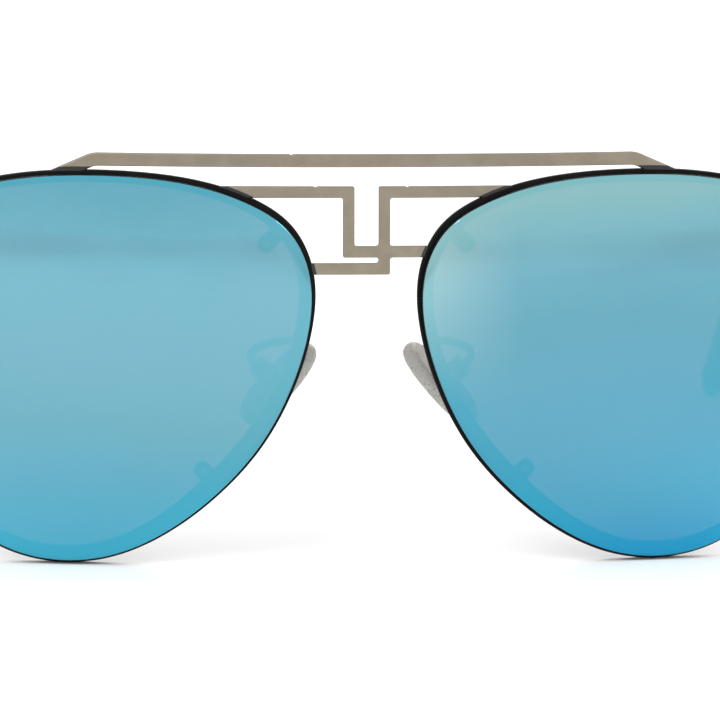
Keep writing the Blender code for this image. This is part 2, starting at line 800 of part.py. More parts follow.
def new_empty(name, parent=None, matrix=None):
    """Add an empty that pieces are parented to, at a place given in millimetres."""
    empty = bpy.data.objects.new(name, None)
    empty.empty_display_size = 5 * MM
    empty.parent = parent
    if matrix is not None:
        place, turn, _ = matrix.decompose()
        empty.location = place * MM
        empty.rotation_mode = "QUATERNION"
        empty.rotation_quaternion = turn
    bpy.context.collection.objects.link(empty)
    return empty


def new_solid(name, shape, parent):
    points, faces = shape
    mesh = bpy.data.meshes.new(name)
    mesh.from_pydata([Vector(point) * MM for point in points], [], faces)
    work = bmesh.new()
    work.from_mesh(mesh)
    bmesh.ops.recalc_face_normals(work, faces=work.faces)
    work.to_mesh(mesh)
    work.free()
    solid = bpy.data.objects.new(name, mesh)
    solid.parent = parent
    bpy.context.collection.objects.link(solid)
    return solid


def new_piece(name, shape, finish, parent):
    """Add one piece of the sunglasses."""
    piece = new_solid(name, shape, parent)
    piece.data.materials.append(finish)
    piece.data.shade_smooth()
    piece.data.set_sharp_from_angle(angle=math.radians(35.0))
    return piece


def new_tool(name, shape, parent):
    """Add a solid that only cuts or extends a piece."""
    tool = new_solid(name, shape, parent)
    tool.hide_render = True
    tool.display_type = "WIRE"
    return tool


def carve(piece, tool, operation="DIFFERENCE"):
    change = piece.modifiers.new(tool.name, "BOOLEAN")
    change.operation = operation
    change.object = tool


def make_front(front, finishes):
    """Make the parts of the front that aren't repeated for each side, and return the voids."""
    voids = {}
    for name, side in SIDES.items():
        voids[name] = new_tool(f"rim_void_{name}", rim_void_shape(side), front)
    brow_bar = new_piece("brow_bar", brow_bar_shape(), finishes["champagne"], front)
    bridge = new_piece("bridge", bridge_shape(), finishes["champagne"], front)
    for void in voids.values():
        carve(brow_bar, void)
        carve(bridge, void)
    return voids


def make_lens_unit(name, side, front, finishes):
    """Make one rim, its lens and the four rivets between them."""
    rim = new_piece(f"rim_{name}", rim_shape(side), finishes["lacquer"], front)
    lens = new_piece(f"lens_{name}", lens_shape(side), finishes["lens"], front)
    holes = new_tool(f"rivet_holes_{name}", rivet_hole_shapes(side), front)
    carve(rim, holes)
    carve(lens, holes)
    for corner, angle in LUG_ANGLES.items():
        shape = placed(rivet_shape(), rivet_matrix(angle, side))
        new_piece(f"lens_rivet_{corner}_{name}", shape, finishes["steel"], front)


def make_pad_unit(name, side, front, finishes):
    """Make one nose pad with its arm, box, lug and screw."""
    new_piece(f"pad_arm_{name}", pad_arm_shape(side), finishes["champagne"], front)
    pivot = new_empty(f"pad_pivot_{name}", front, pad_matrix(side))
    hole = new_tool(f"pad_screw_hole_{name}", pad_screw_hole_shape(), pivot)
    pocket = new_tool(f"pad_pocket_{name}", pad_pocket_shape(), pivot)
    box = new_piece(f"pad_box_{name}", pad_box_shape(), finishes["champagne"], pivot)
    lug = new_piece(f"pad_lug_{name}", pad_lug_shape(), finishes["steel"], pivot)
    pad = new_piece(f"nose_pad_{name}", nose_pad_shape(), finishes["silicone"], pivot)
    new_piece(f"pad_screw_{name}", pad_screw_shape(side), finishes["steel"], pivot)
    carve(box, hole)
    carve(lug, hole)
    carve(pad, pocket)


def make_temple_unit(name, side, front, void, finishes):
    """Make one end piece, its hinge, the temple and the temple tip."""
    end_piece = new_piece(f"end_piece_{name}", end_piece_shape(side), finishes["champagne"], front)
    carve(end_piece, void)
    place = Matrix.Translation(Vector((side * HINGE_X, HINGE_Y, HINGE_Z + MIDDLE_HEIGHT)))
    axis = new_empty(f"hinge_axis_{name}", front, place @ Matrix.Rotation(-TEMPLE_SLOPE, 4, "X"))
    half = KNUCKLE_HEIGHT / 2
    near = half + KNUCKLE_GAP
    far = near + KNUCKLE_HEIGHT
    bore = turned([(KNUCKLE_HOLE_RADIUS, -2 * far), (KNUCKLE_HOLE_RADIUS, 2 * far)])
    hole = new_tool(f"hinge_hole_{name}", bore, axis)
    leaf = leaf_shape(side, -1)
    front_hinge = new_piece(f"hinge_front_{name}", leaf, finishes["champagne"], axis)
    for level, low, high in (("top", near, far), ("bottom", -far, -near)):
        knuckle = new_tool(f"knuckle_{level}_{name}", knuckle_shape(side, -1, low, high), axis)
        carve(front_hinge, knuckle, "UNION")
    leaf = leaf_shape(side, 1)
    temple_hinge = new_piece(f"hinge_temple_{name}", leaf, finishes["champagne"], axis)
    middle = new_tool(f"knuckle_middle_{name}", knuckle_shape(side, 1, -half, half), axis)
    carve(temple_hinge, middle, "UNION")
    carve(front_hinge, hole)
    carve(temple_hinge, hole)
    new_piece(f"hinge_screw_{name}", hinge_screw_shape(), finishes["steel"], axis)
    new_piece(f"temple_{name}", temple_shape(side), finishes["champagne"], axis)
    new_piece(f"temple_tip_{name}", temple_tip_shape(side), finishes["acetate"], axis)


def main():
    clear_scene()
    finishes = {
        "lens": new_finish("blue_mirror_lens", (0.16, 0.46, 0.62), 0.05, 0.6),
        "lacquer": new_finish("black_lacquer", (0.012, 0.011, 0.011), 0.25, 0.0),
        "champagne": new_finish("champagne_metal", (0.33, 0.29, 0.24), 0.38, 1.0),
        "steel": new_finish("bright_steel", (0.6, 0.58, 0.55), 0.25, 1.0),
        "silicone": new_finish("clear_silicone", (0.62, 0.62, 0.6), 0.4, 0.0, 0.6),
        "acetate": new_finish("black_acetate", (0.01, 0.01, 0.011), 0.18, 0.0),
    }
    front = new_empty("front_frame", None, Matrix.Translation(Vector((0, FRONT_Y, 0))))
    voids = make_front(front, finishes)
    for name, side in SIDES.items():
        make_lens_unit(name, side, front, finishes)
        make_pad_unit(name, side, front, finishes)
        make_temple_unit(name, side, front, voids[name], finishes)


main()
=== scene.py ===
"""Aviator sunglasses with an openwork bridge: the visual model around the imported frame.

Shapes are drawn in millimetres in the row frame, where the front faces -Y, and are made in
metres. The sheet parts of the front lie between two spheres with one centre.
"""

import math

import bmesh
import bpy
import numpy as np
from mathutils import Matrix, Vector
from mathutils.geometry import delaunay_2d_cdt, interpolate_bezier

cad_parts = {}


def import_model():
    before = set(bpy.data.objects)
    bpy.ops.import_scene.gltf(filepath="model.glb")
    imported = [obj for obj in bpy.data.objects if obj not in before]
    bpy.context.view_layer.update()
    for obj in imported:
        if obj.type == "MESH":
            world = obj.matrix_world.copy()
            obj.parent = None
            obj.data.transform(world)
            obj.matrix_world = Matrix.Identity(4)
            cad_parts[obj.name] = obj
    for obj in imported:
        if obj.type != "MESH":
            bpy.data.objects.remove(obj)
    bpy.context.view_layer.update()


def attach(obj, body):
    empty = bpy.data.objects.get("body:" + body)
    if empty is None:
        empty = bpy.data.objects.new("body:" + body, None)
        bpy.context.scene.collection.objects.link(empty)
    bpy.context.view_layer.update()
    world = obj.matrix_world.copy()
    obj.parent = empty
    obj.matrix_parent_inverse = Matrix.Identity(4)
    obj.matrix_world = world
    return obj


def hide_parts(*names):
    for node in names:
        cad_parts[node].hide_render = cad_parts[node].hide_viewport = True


MM = 0.001
SIDES = {"left": 1, "right": -1}

# Front
BASE_RADIUS = 265.0
MIDDLE_HEIGHT = 27.6
FRONT_Y = -72.52
LENS_THICKNESS = 1.6
LENS_CHAMFER = 0.15
LENS_GRIND = 0.05
LENS_GRIND_DEPTH = 0.1
LENS_EASE = 0.01
LENS_RINGS = 16
LENS_SIDES = 320
LENS_POLE_SHARE = 0.02
RIM_FRONT = 1.68
RIM_BACK = 2.62
BAR_FRONT = 1.7
BAR_BACK = 2.6
RIM_EDGE = 0.2
BAR_EDGE = 0.12
EDGE_STEPS = 3
EDGE_MARGIN = 1.5

# Lens outline of the wearer's left side: x, z and the width of the rim band there, from the
# top over the nose side and the bottom to the temple side.
LENS_CENTRE = (37.0, 0.0)
LENS_KNOTS = [
    (36.0, 25.55, 1.7),
    (24.0, 24.45, 1.7),
    (15.9, 21.9, 1.8),
    (10.5, 18.2, 2.0),
    (7.8, 12.6, 2.1),
    (7.7, 5.8, 2.2),
    (10.3, -3.3, 2.4),
    (14.5, -11.1, 2.9),
    (20.3, -17.7, 3.0),
    (27.4, -23.15, 2.7),
    (34.5, -26.3, 2.4),
    (42.0, -27.0, 2.3),
    (49.5, -24.9, 2.2),
    (56.5, -19.0, 2.1),
    (62.5, -10.6, 2.0),
    (66.2, 0.0, 1.9),
    (66.2, 10.0, 1.9),
    (61.2, 19.2, 1.8),
    (50.0, 24.35, 1.7),
]
RIM_OVERHANG = 0.55
RIM_SWELL = 0.22
RIM_SWELL_ANGLES = (100.0, 178.0)
RIM_SIDES = 400
BAR_LAP = 0.1
LACQUER_REACH = 1.0

# Longest step along each sheet's edge, and the spacing of the points within
RIM_PITCHES = (0.5, 0.6)
BRIDGE_PITCHES = (0.4, 0.45)
BROW_BAR_PITCHES = (0.45, 0.5)

# Lugs and rivets
LUG_ANGLES = {
    "upper_temple": 34.0,
    "upper_nose": 144.0,
    "lower_nose": 224.0,
    "lower_temple": 318.0,
}
LUG_INSET = 3.45
LUG_RADIUS = 1.2
LUG_FOOT = 0.45
LUG_CLEARANCE = 0.2
LUG_FOOT_STEPS = 6
LUG_STEPS = 8
RIVET_RADIUS = 0.35
RIVET_HOLE_RADIUS = 0.45
RIVET_HOLE_SIDES = 20
RIVET_TIP_DEPTH = 0.9
RIVET_TIP_CHAMFER = 0.05
RIVET_HEAD_RADIUS = 0.85
RIVET_HEAD_GAP = 0.02
RIVET_HEAD_SIDE = 0.12
RIVET_DOME = 0.28
RIVET_DOME_STEPS = 6
RIVET_POLE_RADIUS = 0.01

# Bars
BROW_BAR_WIDTH = 1.74
BROW_BAR_Z = 27.5
BROW_BAR_CORNER_X = 36.6
BROW_BAR_DROP = math.radians(23.8)
BROW_BAR_CORNER_RADIUS = 3.0
BRIDGE_BAR_WIDTH = 1.54
UPPER_BAR_Z = 23.3
MIDDLE_BAR_Z = 15.3
LOWER_BAR_Z = 13.0
UPRIGHT_X = 2.4
SLOT_FLAT = 0.01
NICK_WIDTH = 0.5
NICK_FLOOR = 0.2
NICK_DEPTH = 0.12
BROW_NICK_X = -10.1
BRIDGE_NICKS_X = (5.5, -6.9)
OUTER_CORNER = 0.25
INNER_CORNER = 0.35

# End pieces and hinges. A hole is a radius and the reach of the tool that cuts it.
HINGE_X = 68.25
HINGE_Y = 17.9
HINGE_Z = 15.0
TEMPLE_SLOPE = math.radians(6.5)
STRAP_OFFSET = 1.65
STRAP_THICKNESS = 1.0
STRAP_HEIGHT = 3.6
STRAP_CORNER = 0.22
STRAP_END_GAP = 0.08
END_PIECE_ROOT_X = 61.5
END_PIECE_LEG = 5.6
END_PIECE_RADIUS = 1.9
END_PIECE_STEPS = 12
END_PIECE_PITCH = 0.4
LENS_VOID_SIDES = 300
LENS_VOID_SPAN = (-10.0, 30.0)
KNUCKLE_RADIUS = 1.05
KNUCKLE_HOLE = (0.5, 4.0)
KNUCKLE_HEIGHT = 1.15
KNUCKLE_GAP = 0.05
KNUCKLE_WEB_OVERLAP = 0.3
LEAF_INNER = 0.7
LEAF_OUTER = 1.1
LEAF_START = 1.25
LEAF_LENGTH = 3.8
LEAF_HEIGHT = 3.2
HINGE_SCREW_RADIUS = 0.42
HINGE_SCREW_HEAD_RADIUS = 0.95
HINGE_SCREW_HEAD_HEIGHT = 0.45
HINGE_SCREW_TURN = 0.5
HINGE_BEVEL = 0.07
SCREW_END_LENGTH = 0.1
SCREW_END_CHAMFER = 0.06

# A screw head's rounded profile: how far in and how far up, in shares of the head's height.
# Its slot: half width and reach in shares of the head's radius, and depth in shares of its height.
HEAD_PROFILE = ((0.0, 0.0), (0.0, 0.55), (0.12, 0.8), (0.4, 0.95), (0.8, 1.0))
HEAD_SLOT = (0.17, 1.2, 0.5)

# Temples, along their own length from the hinge
TEMPLE_LENGTH = 140.0
EAR_BEND_START = 92.0
EAR_BEND_RADIUS = 22.0
EAR_BEND_ANGLE = math.radians(42.8)
TIP_TURN_IN = 2.5
CORE_WIRE_START = 80.0
CORE_WIRE_END = 133.0
CORE_WIRE_RADIUS = 0.6
CORE_WIRE_FLAT = 0.001
CORE_WIRE_PITCH = 1.6
TIP_START = 80.6
TIP_BORE_RADIUS = 0.8
TIP_BORE_SPARE = 0.6
TIP_NOSE_LENGTH = 2.6
TIP_NOSE_STEPS = 8
TIP_NOSE_BLUNT = 0.004
TIP_MOUTH_SIZE = (1.3, 1.6)
TIP_MOUTH_EASE = 0.35
TIP_MOUTH_CUT = 0.1
TIP_SWELL = (0.35, 0.9)
TIP_SQUARENESS = 2.4
TIP_SIDES = 32
TIP_PITCH = 1.4
TIP_BORE_PITCH = 1.8
TEMPLE_FRONT_HEIGHT = 3.6
TEMPLE_REAR_HEIGHT = 2.0
TEMPLE_END_EASE = 0.2
TEMPLE_END_CUT = 0.12
TEMPLE_MARGIN = 1.2
TEMPLE_PITCH = 2.0

# Nose pads: x along the screw, y towards the nose and z up the pad. The pivot and the arm's
# root are places on the front.
PAD_PIVOT = (12.95, 12.3, -2.6)
PAD_TILT = math.radians(42.0)
PAD_SPLAY = math.radians(25.0)
PAD_HALF_LENGTH = 7.0
PAD_HALF_WIDTH = 3.4
PAD_BACK = 1.6
PAD_FACE = 3.95
PAD_ROUND = 1.1
PAD_TAPER = 0.1
PAD_SQUARENESS = 2.3
PAD_SIDES = 56
PAD_EDGE_STEPS = 12
PAD_BACK_SHARES = (0.06, 0.3, 0.55)
PAD_FACE_SHARES = (0.5, 0.28, 0.06)
POCKET_START = 1.0
POCKET_GAP = 0.05
LUG_PLATE_HALF_LENGTH = 2.5
LUG_PLATE_BACK = 1.75
LUG_PLATE_FACE = 2.2
LUG_BEVEL = 0.06
TONGUE_END = -0.75
TONGUE_HALF_WIDTH = 0.5
TONGUE_HALF_HEIGHT = 0.95
BOX_HALF_WIDTH = 1.15
BOX_HALF_HEIGHT = 1.3
BOX_BACK = -1.7
BOX_FLOOR = -1.15
BOX_MOUTH = 1.0
BOX_SIDE_GAP = 0.06
BOX_BEVEL = 0.09
PAD_HOLE = (0.46, 3.0)
PAD_SCREW_RADIUS = 0.38
PAD_SCREW_HEAD_RADIUS = 0.75
PAD_SCREW_HEAD_GAP = 0.02
PAD_SCREW_HEAD_HEIGHT = 0.42
PAD_SCREW_TURN = 0.7
ARM_RADIUS = 0.55
ARM_ROOT = (8.75, 3.0)
ARM_ROOT_LAP = 0.2
ARM_REACH = 5.6
ARM_LEAN = (0.8, -0.2)
ARM_STOP = -1.6
ARM_GAP = 0.05
ARM_SIDES = 24
ARM_STEPS = 48
ARM_BRAZE_STEPS = 4
ARM_BRAZE_SWELL = 0.5

# Meshes
SPLINE_STEPS = 24
TANGENT_REACH = 0.3
GRID_ROW = 0.87
GRID_MARGIN = 0.5
WELD_DISTANCE = 1e-7
ROUND_SIDES = 40
BEVEL_SEGMENTS = 3
BEVEL_ANGLE = math.radians(40.0)

# Mirror coating of each lens, with painted light in it: the share of the height of the front, and
# the colour there. Over a graded coating, the paler top and the differences between the left and
# the right lens are painted light and painted reflection.
MIRROR_STOPS_WITH_PAINTED_LIGHT = {
    "left": (
        (0.05, (0.032, 0.385, 0.642)),
        (0.16, (0.048, 0.398, 0.586)),
        (0.34, (0.075, 0.367, 0.506)),
        (0.6, (0.091, 0.358, 0.458)),
        (0.72, (0.11, 0.385, 0.487)),
        (0.82, (0.171, 0.524, 0.607)),
        (0.92, (0.243, 0.563, 0.599)),
    ),
    "right": (
        (0.05, (0.07, 0.471, 0.642)),
        (0.16, (0.078, 0.435, 0.586)),
        (0.34, (0.113, 0.396, 0.489)),
        (0.53, (0.134, 0.414, 0.514)),
        (0.72, (0.134, 0.428, 0.524)),
        (0.82, (0.134, 0.489, 0.618)),
        (0.92, (0.106, 0.448, 0.572)),
    ),
}
# A painted reflection: a paler patch on each lens near the nose, stronger on the left lens. Its
# colour, its share on each lens, its span across and its heights.
NOSE_PAINTED_REFLECTION = (0.37, 0.62, 0.62)
NOSE_PAINTED_REFLECTION_SHARE = {"left": 0.72, "right": 0.06}
NOSE_PAINTED_REFLECTION_SPAN = (8.0, 21.0)
NOSE_PAINTED_REFLECTION_HEIGHTS = (22.0, 42.0)
MIRROR_TINT = (0.8, 0.27, 0.32)
BACK_TINT = (1.0, 0.98, 0.95)

# Pairs of colours that each material's clouds run between, and its other tones
LACQUER_TONES = ((0.003, 0.003, 0.003), (0.007, 0.0065, 0.006))
LACQUER_RUBBED = (0.03, 0.027, 0.024)
CHAMPAGNE_TONES = ((0.255, 0.223, 0.172), (0.3, 0.262, 0.205))
CHAMPAGNE_GRAIN = (0.215, 0.19, 0.148)
# Painted shade: the darker colour on the rounded edges of the bars.
CHAMPAGNE_PAINTED_EDGE_SHADE = (0.09, 0.08, 0.065)
BLACKENED = (0.01, 0.0095, 0.009)
BLACKENED_FADE = 0.015
STEEL_TONES = ((0.56, 0.54, 0.51), (0.68, 0.66, 0.63))
SILICONE_TONES = ((0.55, 0.54, 0.5), (0.66, 0.65, 0.62))
SILICONE_SCATTER = 1.2
ACETATE_TONES = ((0.007, 0.007, 0.008), (0.02, 0.018, 0.017))
PAPER_TONES = ((0.94, 0.94, 0.94), (0.96, 0.96, 0.96))

# Studio, in metres and watts: each light's place, target, size and power
FLOOR_REACH = 12.0
WORLD_STRENGTH = 1.1
LIGHTS = {
    "key": ((-0.7, -0.9, 1.1), (0, -0.03, 0.02), (0.9, 0.9), 6.0),
    "fill": ((0.9, -0.6, 0.8), (0, -0.03, 0.02), (0.8, 0.8), 3.0),
    "rim_light": ((0.2, 1.0, 0.9), (0, 0.0, 0.02), (1.0, 0.6), 4.0),
}

# Camera, with its distance and clip start in metres
VIEW_AZIMUTH = math.radians(-4.5)
VIEW_ELEVATION = math.radians(9.0)
VIEW_ROLL = math.radians(0.42)
VIEW_DISTANCE = 0.7
VIEW_LENS = 260.4
VIEW_SENSOR = 36.0
VIEW_SHIFT = 0.00986
VIEW_CLIP = 0.01


# Curves in the plane of the front

def unit(vector):
    return vector / np.linalg.norm(vector)


def quarter(steps):
    """Return the angles of a quarter turn."""
    return [math.pi / 2 * k / steps for k in range(steps + 1)]


def on_front(x, z, depth):
    """Place points of the front, given their depth behind the lens faces."""
    x, z, depth = np.broadcast_arrays(np.asarray(x, float), z, depth)
    radius = BASE_RADIUS - depth
    y = BASE_RADIUS - np.sqrt(radius ** 2 - x ** 2 - z ** 2)
    return np.stack([x, y + FRONT_Y, z + MIDDLE_HEIGHT], axis=-1)


def closed_spline(knots, steps):
    """Sample the smooth closed curve through the knots, with the same number of steps each."""
    knots = np.array(knots)
    ahead = np.roll(knots, -1, axis=0)
    spans = np.linalg.norm((ahead - knots)[:, :2], axis=1)
    count = len(knots)
    system = np.zeros((count, count))
    target = np.zeros_like(knots)
    for i in range(count):
        before = spans[i - 1]
        after = spans[i]
        system[i, i - 1] = after
        system[i, i] = 2 * (before + after)
        system[i, (i + 1) % count] = before
        target[i] = 3 * before / after * (ahead[i] - knots[i])
        target[i] += 3 * after / before * (knots[i] - knots[i - 1])
    slopes = np.linalg.solve(system, target)
    curve = []
    for i in range(count):
        for t in np.arange(steps) / steps:
            start = (1 + 2 * t) * (1 - t) ** 2 * knots[i]
            end = t ** 2 * (3 - 2 * t) * ahead[i]
            leave = t * (1 - t) ** 2 * spans[i] * slopes[i]
            arrive = t ** 2 * (t - 1) * spans[i] * slopes[(i + 1) % count]
            curve.append(start + end + leave + arrive)
    return np.array(curve)


class Outline:
    """The lens outline, read by the distance travelled along it."""

    def __init__(self, knots):
        curve = closed_spline(knots, SPLINE_STEPS)
        self.curve = np.vstack([curve, curve[:1]])
        steps = np.linalg.norm(np.diff(self.curve[:, :2], axis=0), axis=1)
        self.travel = np.concatenate([[0.0], np.cumsum(steps)])
        self.length = self.travel[-1]

    def read(self, distance):
        wrapped = distance % self.length
        return np.array([np.interp(wrapped, self.travel, column) for column in self.curve.T])

    def at(self, distance):
        """Return the point, the inward direction and the width of the rim band."""
        x, z, band = self.read(distance)
        reach = self.read(distance + TANGENT_REACH) - self.read(distance - TANGENT_REACH)
        ahead = unit(reach[:2])
        return np.array([x, z]), np.array([-ahead[1], ahead[0]]), band

    def offset(self, distance, inset):
        point, inward, _ = self.at(distance)
        return point + inward * inset

    def even(self, count):
        return [self.length * i / count for i in range(count)]

    def loop(self, count, inset):
        return np.array([self.offset(distance, inset) for distance in self.even(count)])

    def distance_at(self, degrees):
        """Return the distance where the outline crosses a direction from the lens centre."""
        spokes = self.curve[:, :2] - np.array(LENS_CENTRE)
        angles = np.degrees(np.arctan2(spokes[:, 1], spokes[:, 0]))
        misses = np.abs((angles - degrees + 180) % 360 - 180)
        return self.travel[int(np.argmin(misses))]

    def crossing(self, start, direction, inset):
        """Return the distance where a ray first meets the outline moved in by the inset."""
        stations = self.even(3 * RIM_SIDES)
        spokes = self.loop(3 * RIM_SIDES, inset) - start
        across = direction[0] * spokes[:, 1] - direction[1] * spokes[:, 0]
        along = spokes @ np.array(direction)
        ahead = np.roll(across, -1)
        hits = np.nonzero((across * ahead < 0) & (along > 0))[0]
        first = hits[np.argmin(along[hits])]
        share = across[first] / (across[first] - ahead[first])
        return stations[first] + share * self.length / len(stations)

    def run(self, start, end, inset, pitch=0.35):
        """List points along the outline moved in by the inset, the short way round."""
        span = (end - start + self.length / 2) % self.length - self.length / 2
        steps = max(2, math.ceil(abs(span) / pitch))
        return [self.offset(start + span * i / steps, inset) for i in range(steps + 1)]


OUTLINE = Outline(LENS_KNOTS)


def lug_centre(angle):
    return OUTLINE.offset(OUTLINE.distance_at(angle), LUG_INSET)


def circle(centre, radius, count):
    turns = 2 * np.pi * np.arange(count) / count
    return np.array(centre) + radius * np.stack([np.cos(turns), np.sin(turns)], axis=1)


def filleted(corners, steps):
    """Round each corner of an outline or a path by its own radius, where it has one."""
    loop = []
    for i, (corner, radius) in enumerate(corners):
        corner = np.array(corner)
        if not radius:
            loop.append(corner)
            continue
        back = unit(np.array(corners[i - 1][0]) - corner)
        ahead = unit(np.array(corners[(i + 1) % len(corners)][0]) - corner)
        half = math.acos(float(back @ ahead)) / 2
        centre = corner + unit(back + ahead) * radius / math.sin(half)
        start = corner + back * radius / math.tan(half) - centre
        end = corner + ahead * radius / math.tan(half) - centre
        sweep = math.pi - 2 * half
        for k in range(steps + 1):
            share = k / steps
            spoke = start * math.sin((1 - share) * sweep) + end * math.sin(share * sweep)
            loop.append(centre + spoke / math.sin(sweep))
    return np.array(loop)


def stepped(points, pitch, closed=True):
    """Add points to an outline or a path, so that no step is longer than the pitch."""
    fine = []
    for here, ahead in zip(points, np.roll(points, -1, axis=0) if closed else points[1:]):
        steps = max(1, math.ceil(np.linalg.norm(ahead - here) / pitch))
        fine.extend(here + (ahead - here) * i / steps for i in range(steps))
    return np.array(fine if closed else fine + [points[-1]])


def left_normals(loop):
    """Return the mitred normals on the left of a closed outline."""
    ahead = np.roll(loop, -1, axis=0) - loop
    ahead /= np.linalg.norm(ahead, axis=1)[:, None]
    mean = ahead + np.roll(ahead, 1, axis=0)
    mean /= np.linalg.norm(mean, axis=1)[:, None]
    stretch = 1 / np.sum(mean * ahead, axis=1)
    return np.stack([-mean[:, 1], mean[:, 0]], axis=1) * stretch[:, None]


def inside(points, loops):
    """Say which points lie inside the loops, by counting crossings to the right."""
    count = np.zeros(len(points), int)
    for loop in loops:
        for (x0, z0), (x1, z1) in zip(loop, np.roll(loop, -1, axis=0)):
            spans = (z0 > points[:, 1]) != (z1 > points[:, 1])
            at = x0 + (points[:, 1] - z0) / (z1 - z0 if z1 != z0 else 1.0) * (x1 - x0)
            count += spans & (at > points[:, 0])
    return count % 2 == 1


def spread(loops, pitch):
    """Spread points on a hexagonal grid inside the loops, clear of their edges."""
    edge = np.vstack(loops)
    low = edge.min(axis=0)
    high = edge.max(axis=0)
    rows = []
    for k, z in enumerate(np.arange(low[1], high[1], pitch * GRID_ROW)):
        xs = np.arange(low[0] + (k % 2) * pitch / 2, high[0], pitch)
        rows.append(np.stack([xs, np.full(len(xs), z)], axis=1))
    points = np.vstack(rows)
    points = points[inside(points, loops)]
    gaps = np.array([np.min(np.linalg.norm(edge - point, axis=1)) for point in points])
    return points[gaps > pitch * GRID_MARGIN]


# Pieces

def cleaned(mesh):
    """Weld the points of a mesh that coincide, and turn its faces outwards."""
    work = bmesh.new()
    work.from_mesh(mesh)
    bmesh.ops.remove_doubles(work, verts=work.verts, dist=WELD_DISTANCE)
    bmesh.ops.recalc_face_normals(work, faces=work.faces)
    work.to_mesh(mesh)
    work.free()


def linked(name, content):
    item = bpy.data.objects.new(name, content)
    bpy.context.collection.objects.link(item)
    return item


def finished(mesh, look, node, body="front", sharp=40.0):
    """Turn a mesh into a piece that rides on a body and stands for a CAD node.

    A look is a slot and its materials. Edges stay sharp above the given angle."""
    cleaned(mesh)
    mesh.shade_smooth()
    mesh.set_sharp_from_angle(angle=math.radians(sharp))
    piece = linked(mesh.name, mesh)
    slot, materials = look
    for material in materials:
        mesh.materials.append(material)
    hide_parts(node)
    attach(piece, body)


def new_mesh(name, points, faces):
    mesh = bpy.data.meshes.new(name)
    mesh.from_pydata((np.asarray(points, float) * MM).tolist(), [], faces)
    return mesh


def add_values(mesh, name, values):
    attribute = mesh.attributes.new(name, "FLOAT", "POINT")
    attribute.data.foreach_set("value", np.asarray(values, np.float32))


def edge_profile(front, back, radius):
    """List insets and depths over a sheet's rounded edge, from its front to its back."""
    half = [(radius * EDGE_MARGIN, 0.0)]
    half += [(radius * (1 - math.sin(a)), radius * (1 - math.cos(a))) for a in quarter(EDGE_STEPS)]
    return [(i, front + d) for i, d in half] + [(i, back - d) for i, d in reversed(half)]


def sheet_mesh(name, loops, front, back, radius, pitch):
    """Build a curved sheet with rounded edges from outlines with their material on the left."""
    profile = edge_profile(front, back, radius)
    normals = [left_normals(loop) for loop in loops]
    rims = [loop + normal * profile[0][0] for loop, normal in zip(loops, normals)]
    field = spread(rims, pitch)
    flat = np.vstack(rims + [field])
    edges = []
    start = 0
    for loop in rims:
        count = len(loop)
        edges.extend((start + i, start + (i + 1) % count) for i in range(count))
        start += count
    made = delaunay_2d_cdt([Vector(p) for p in flat.tolist()], edges, [], 2, 1e-6)
    origin = [ids[0] for ids in made[3]]
    triangles = np.array([[origin[i] for i in face] for face in made[2]])
    triangles = triangles[inside(flat[triangles].mean(axis=1), rims)]
    ring_count = start
    points = []
    # How near each point is to the rounded edge: used for wear on the lacquer and for painted shade
    # on the bars.
    edge_wear_and_shade = []
    for inset, depth in profile:
        ring = np.vstack([loop + normal * inset for loop, normal in zip(loops, normals)])
        points.append(on_front(ring[:, 0], ring[:, 1], depth))
        edge_wear_and_shade.append(np.full(len(ring), 1.0 - min(inset / radius, 1.0)))
    for depth in (front, back):
        points.append(on_front(field[:, 0], field[:, 1], depth))
        edge_wear_and_shade.append(np.zeros(len(field)))
    faces = []
    for k in range(len(profile) - 1):
        for a, b in edges:
            low = k * ring_count
            high = low + ring_count
            faces.append((low + a, low + b, high + b, high + a))
    last = (len(profile) - 1) * ring_count
    field_start = last + ring_count
    for first, field_first in ((0, field_start), (last, field_start + len(field))):
        inner = field_first - ring_count
        for triangle in triangles:
            faces.append([i + (first if i < ring_count else inner) for i in triangle])
    mesh = new_mesh(name, np.vstack(points), faces)
    add_values(mesh, "edge_wear_and_shade", np.concatenate(edge_wear_and_shade))
    return mesh


def add_lacquer_distance(mesh):
    """Note how far each point of a bar is from the lens outline, in millimetres."""
    curve = OUTLINE.curve[:, :2]
    values = []
    for vertex in mesh.vertices:
        place = np.array([abs(vertex.co.x) / MM, vertex.co.z / MM - MIDDLE_HEIGHT])
        values.append(np.min(np.linalg.norm(curve - place, axis=1)))
    add_values(mesh, "from_lens", values)


def mirrored(loop, side):
    """Mirror an outline for the wearer's right, and keep its material on the left."""
    loop = np.array(loop)
    return loop if side > 0 else loop[::-1] * np.array([-1.0, 1.0])


def clamped(value):
    return min(max(value, 0.0), 1.0)


def lug_profile(foot):
    """List a lug's outline, as the distance along the rim and the inset, from side to side."""
    half = []
    for turn in quarter(LUG_FOOT_STEPS):
        along = LUG_RADIUS + LUG_FOOT - LUG_FOOT * math.sin(turn)
        half.append((along, foot + LUG_FOOT * (1 - math.cos(turn))))
    for turn in quarter(LUG_STEPS):
        half.append((LUG_RADIUS * math.cos(turn), LUG_INSET + LUG_RADIUS * math.sin(turn)))
    return [(-u, v) for u, v in half] + list(reversed(half))[1:]


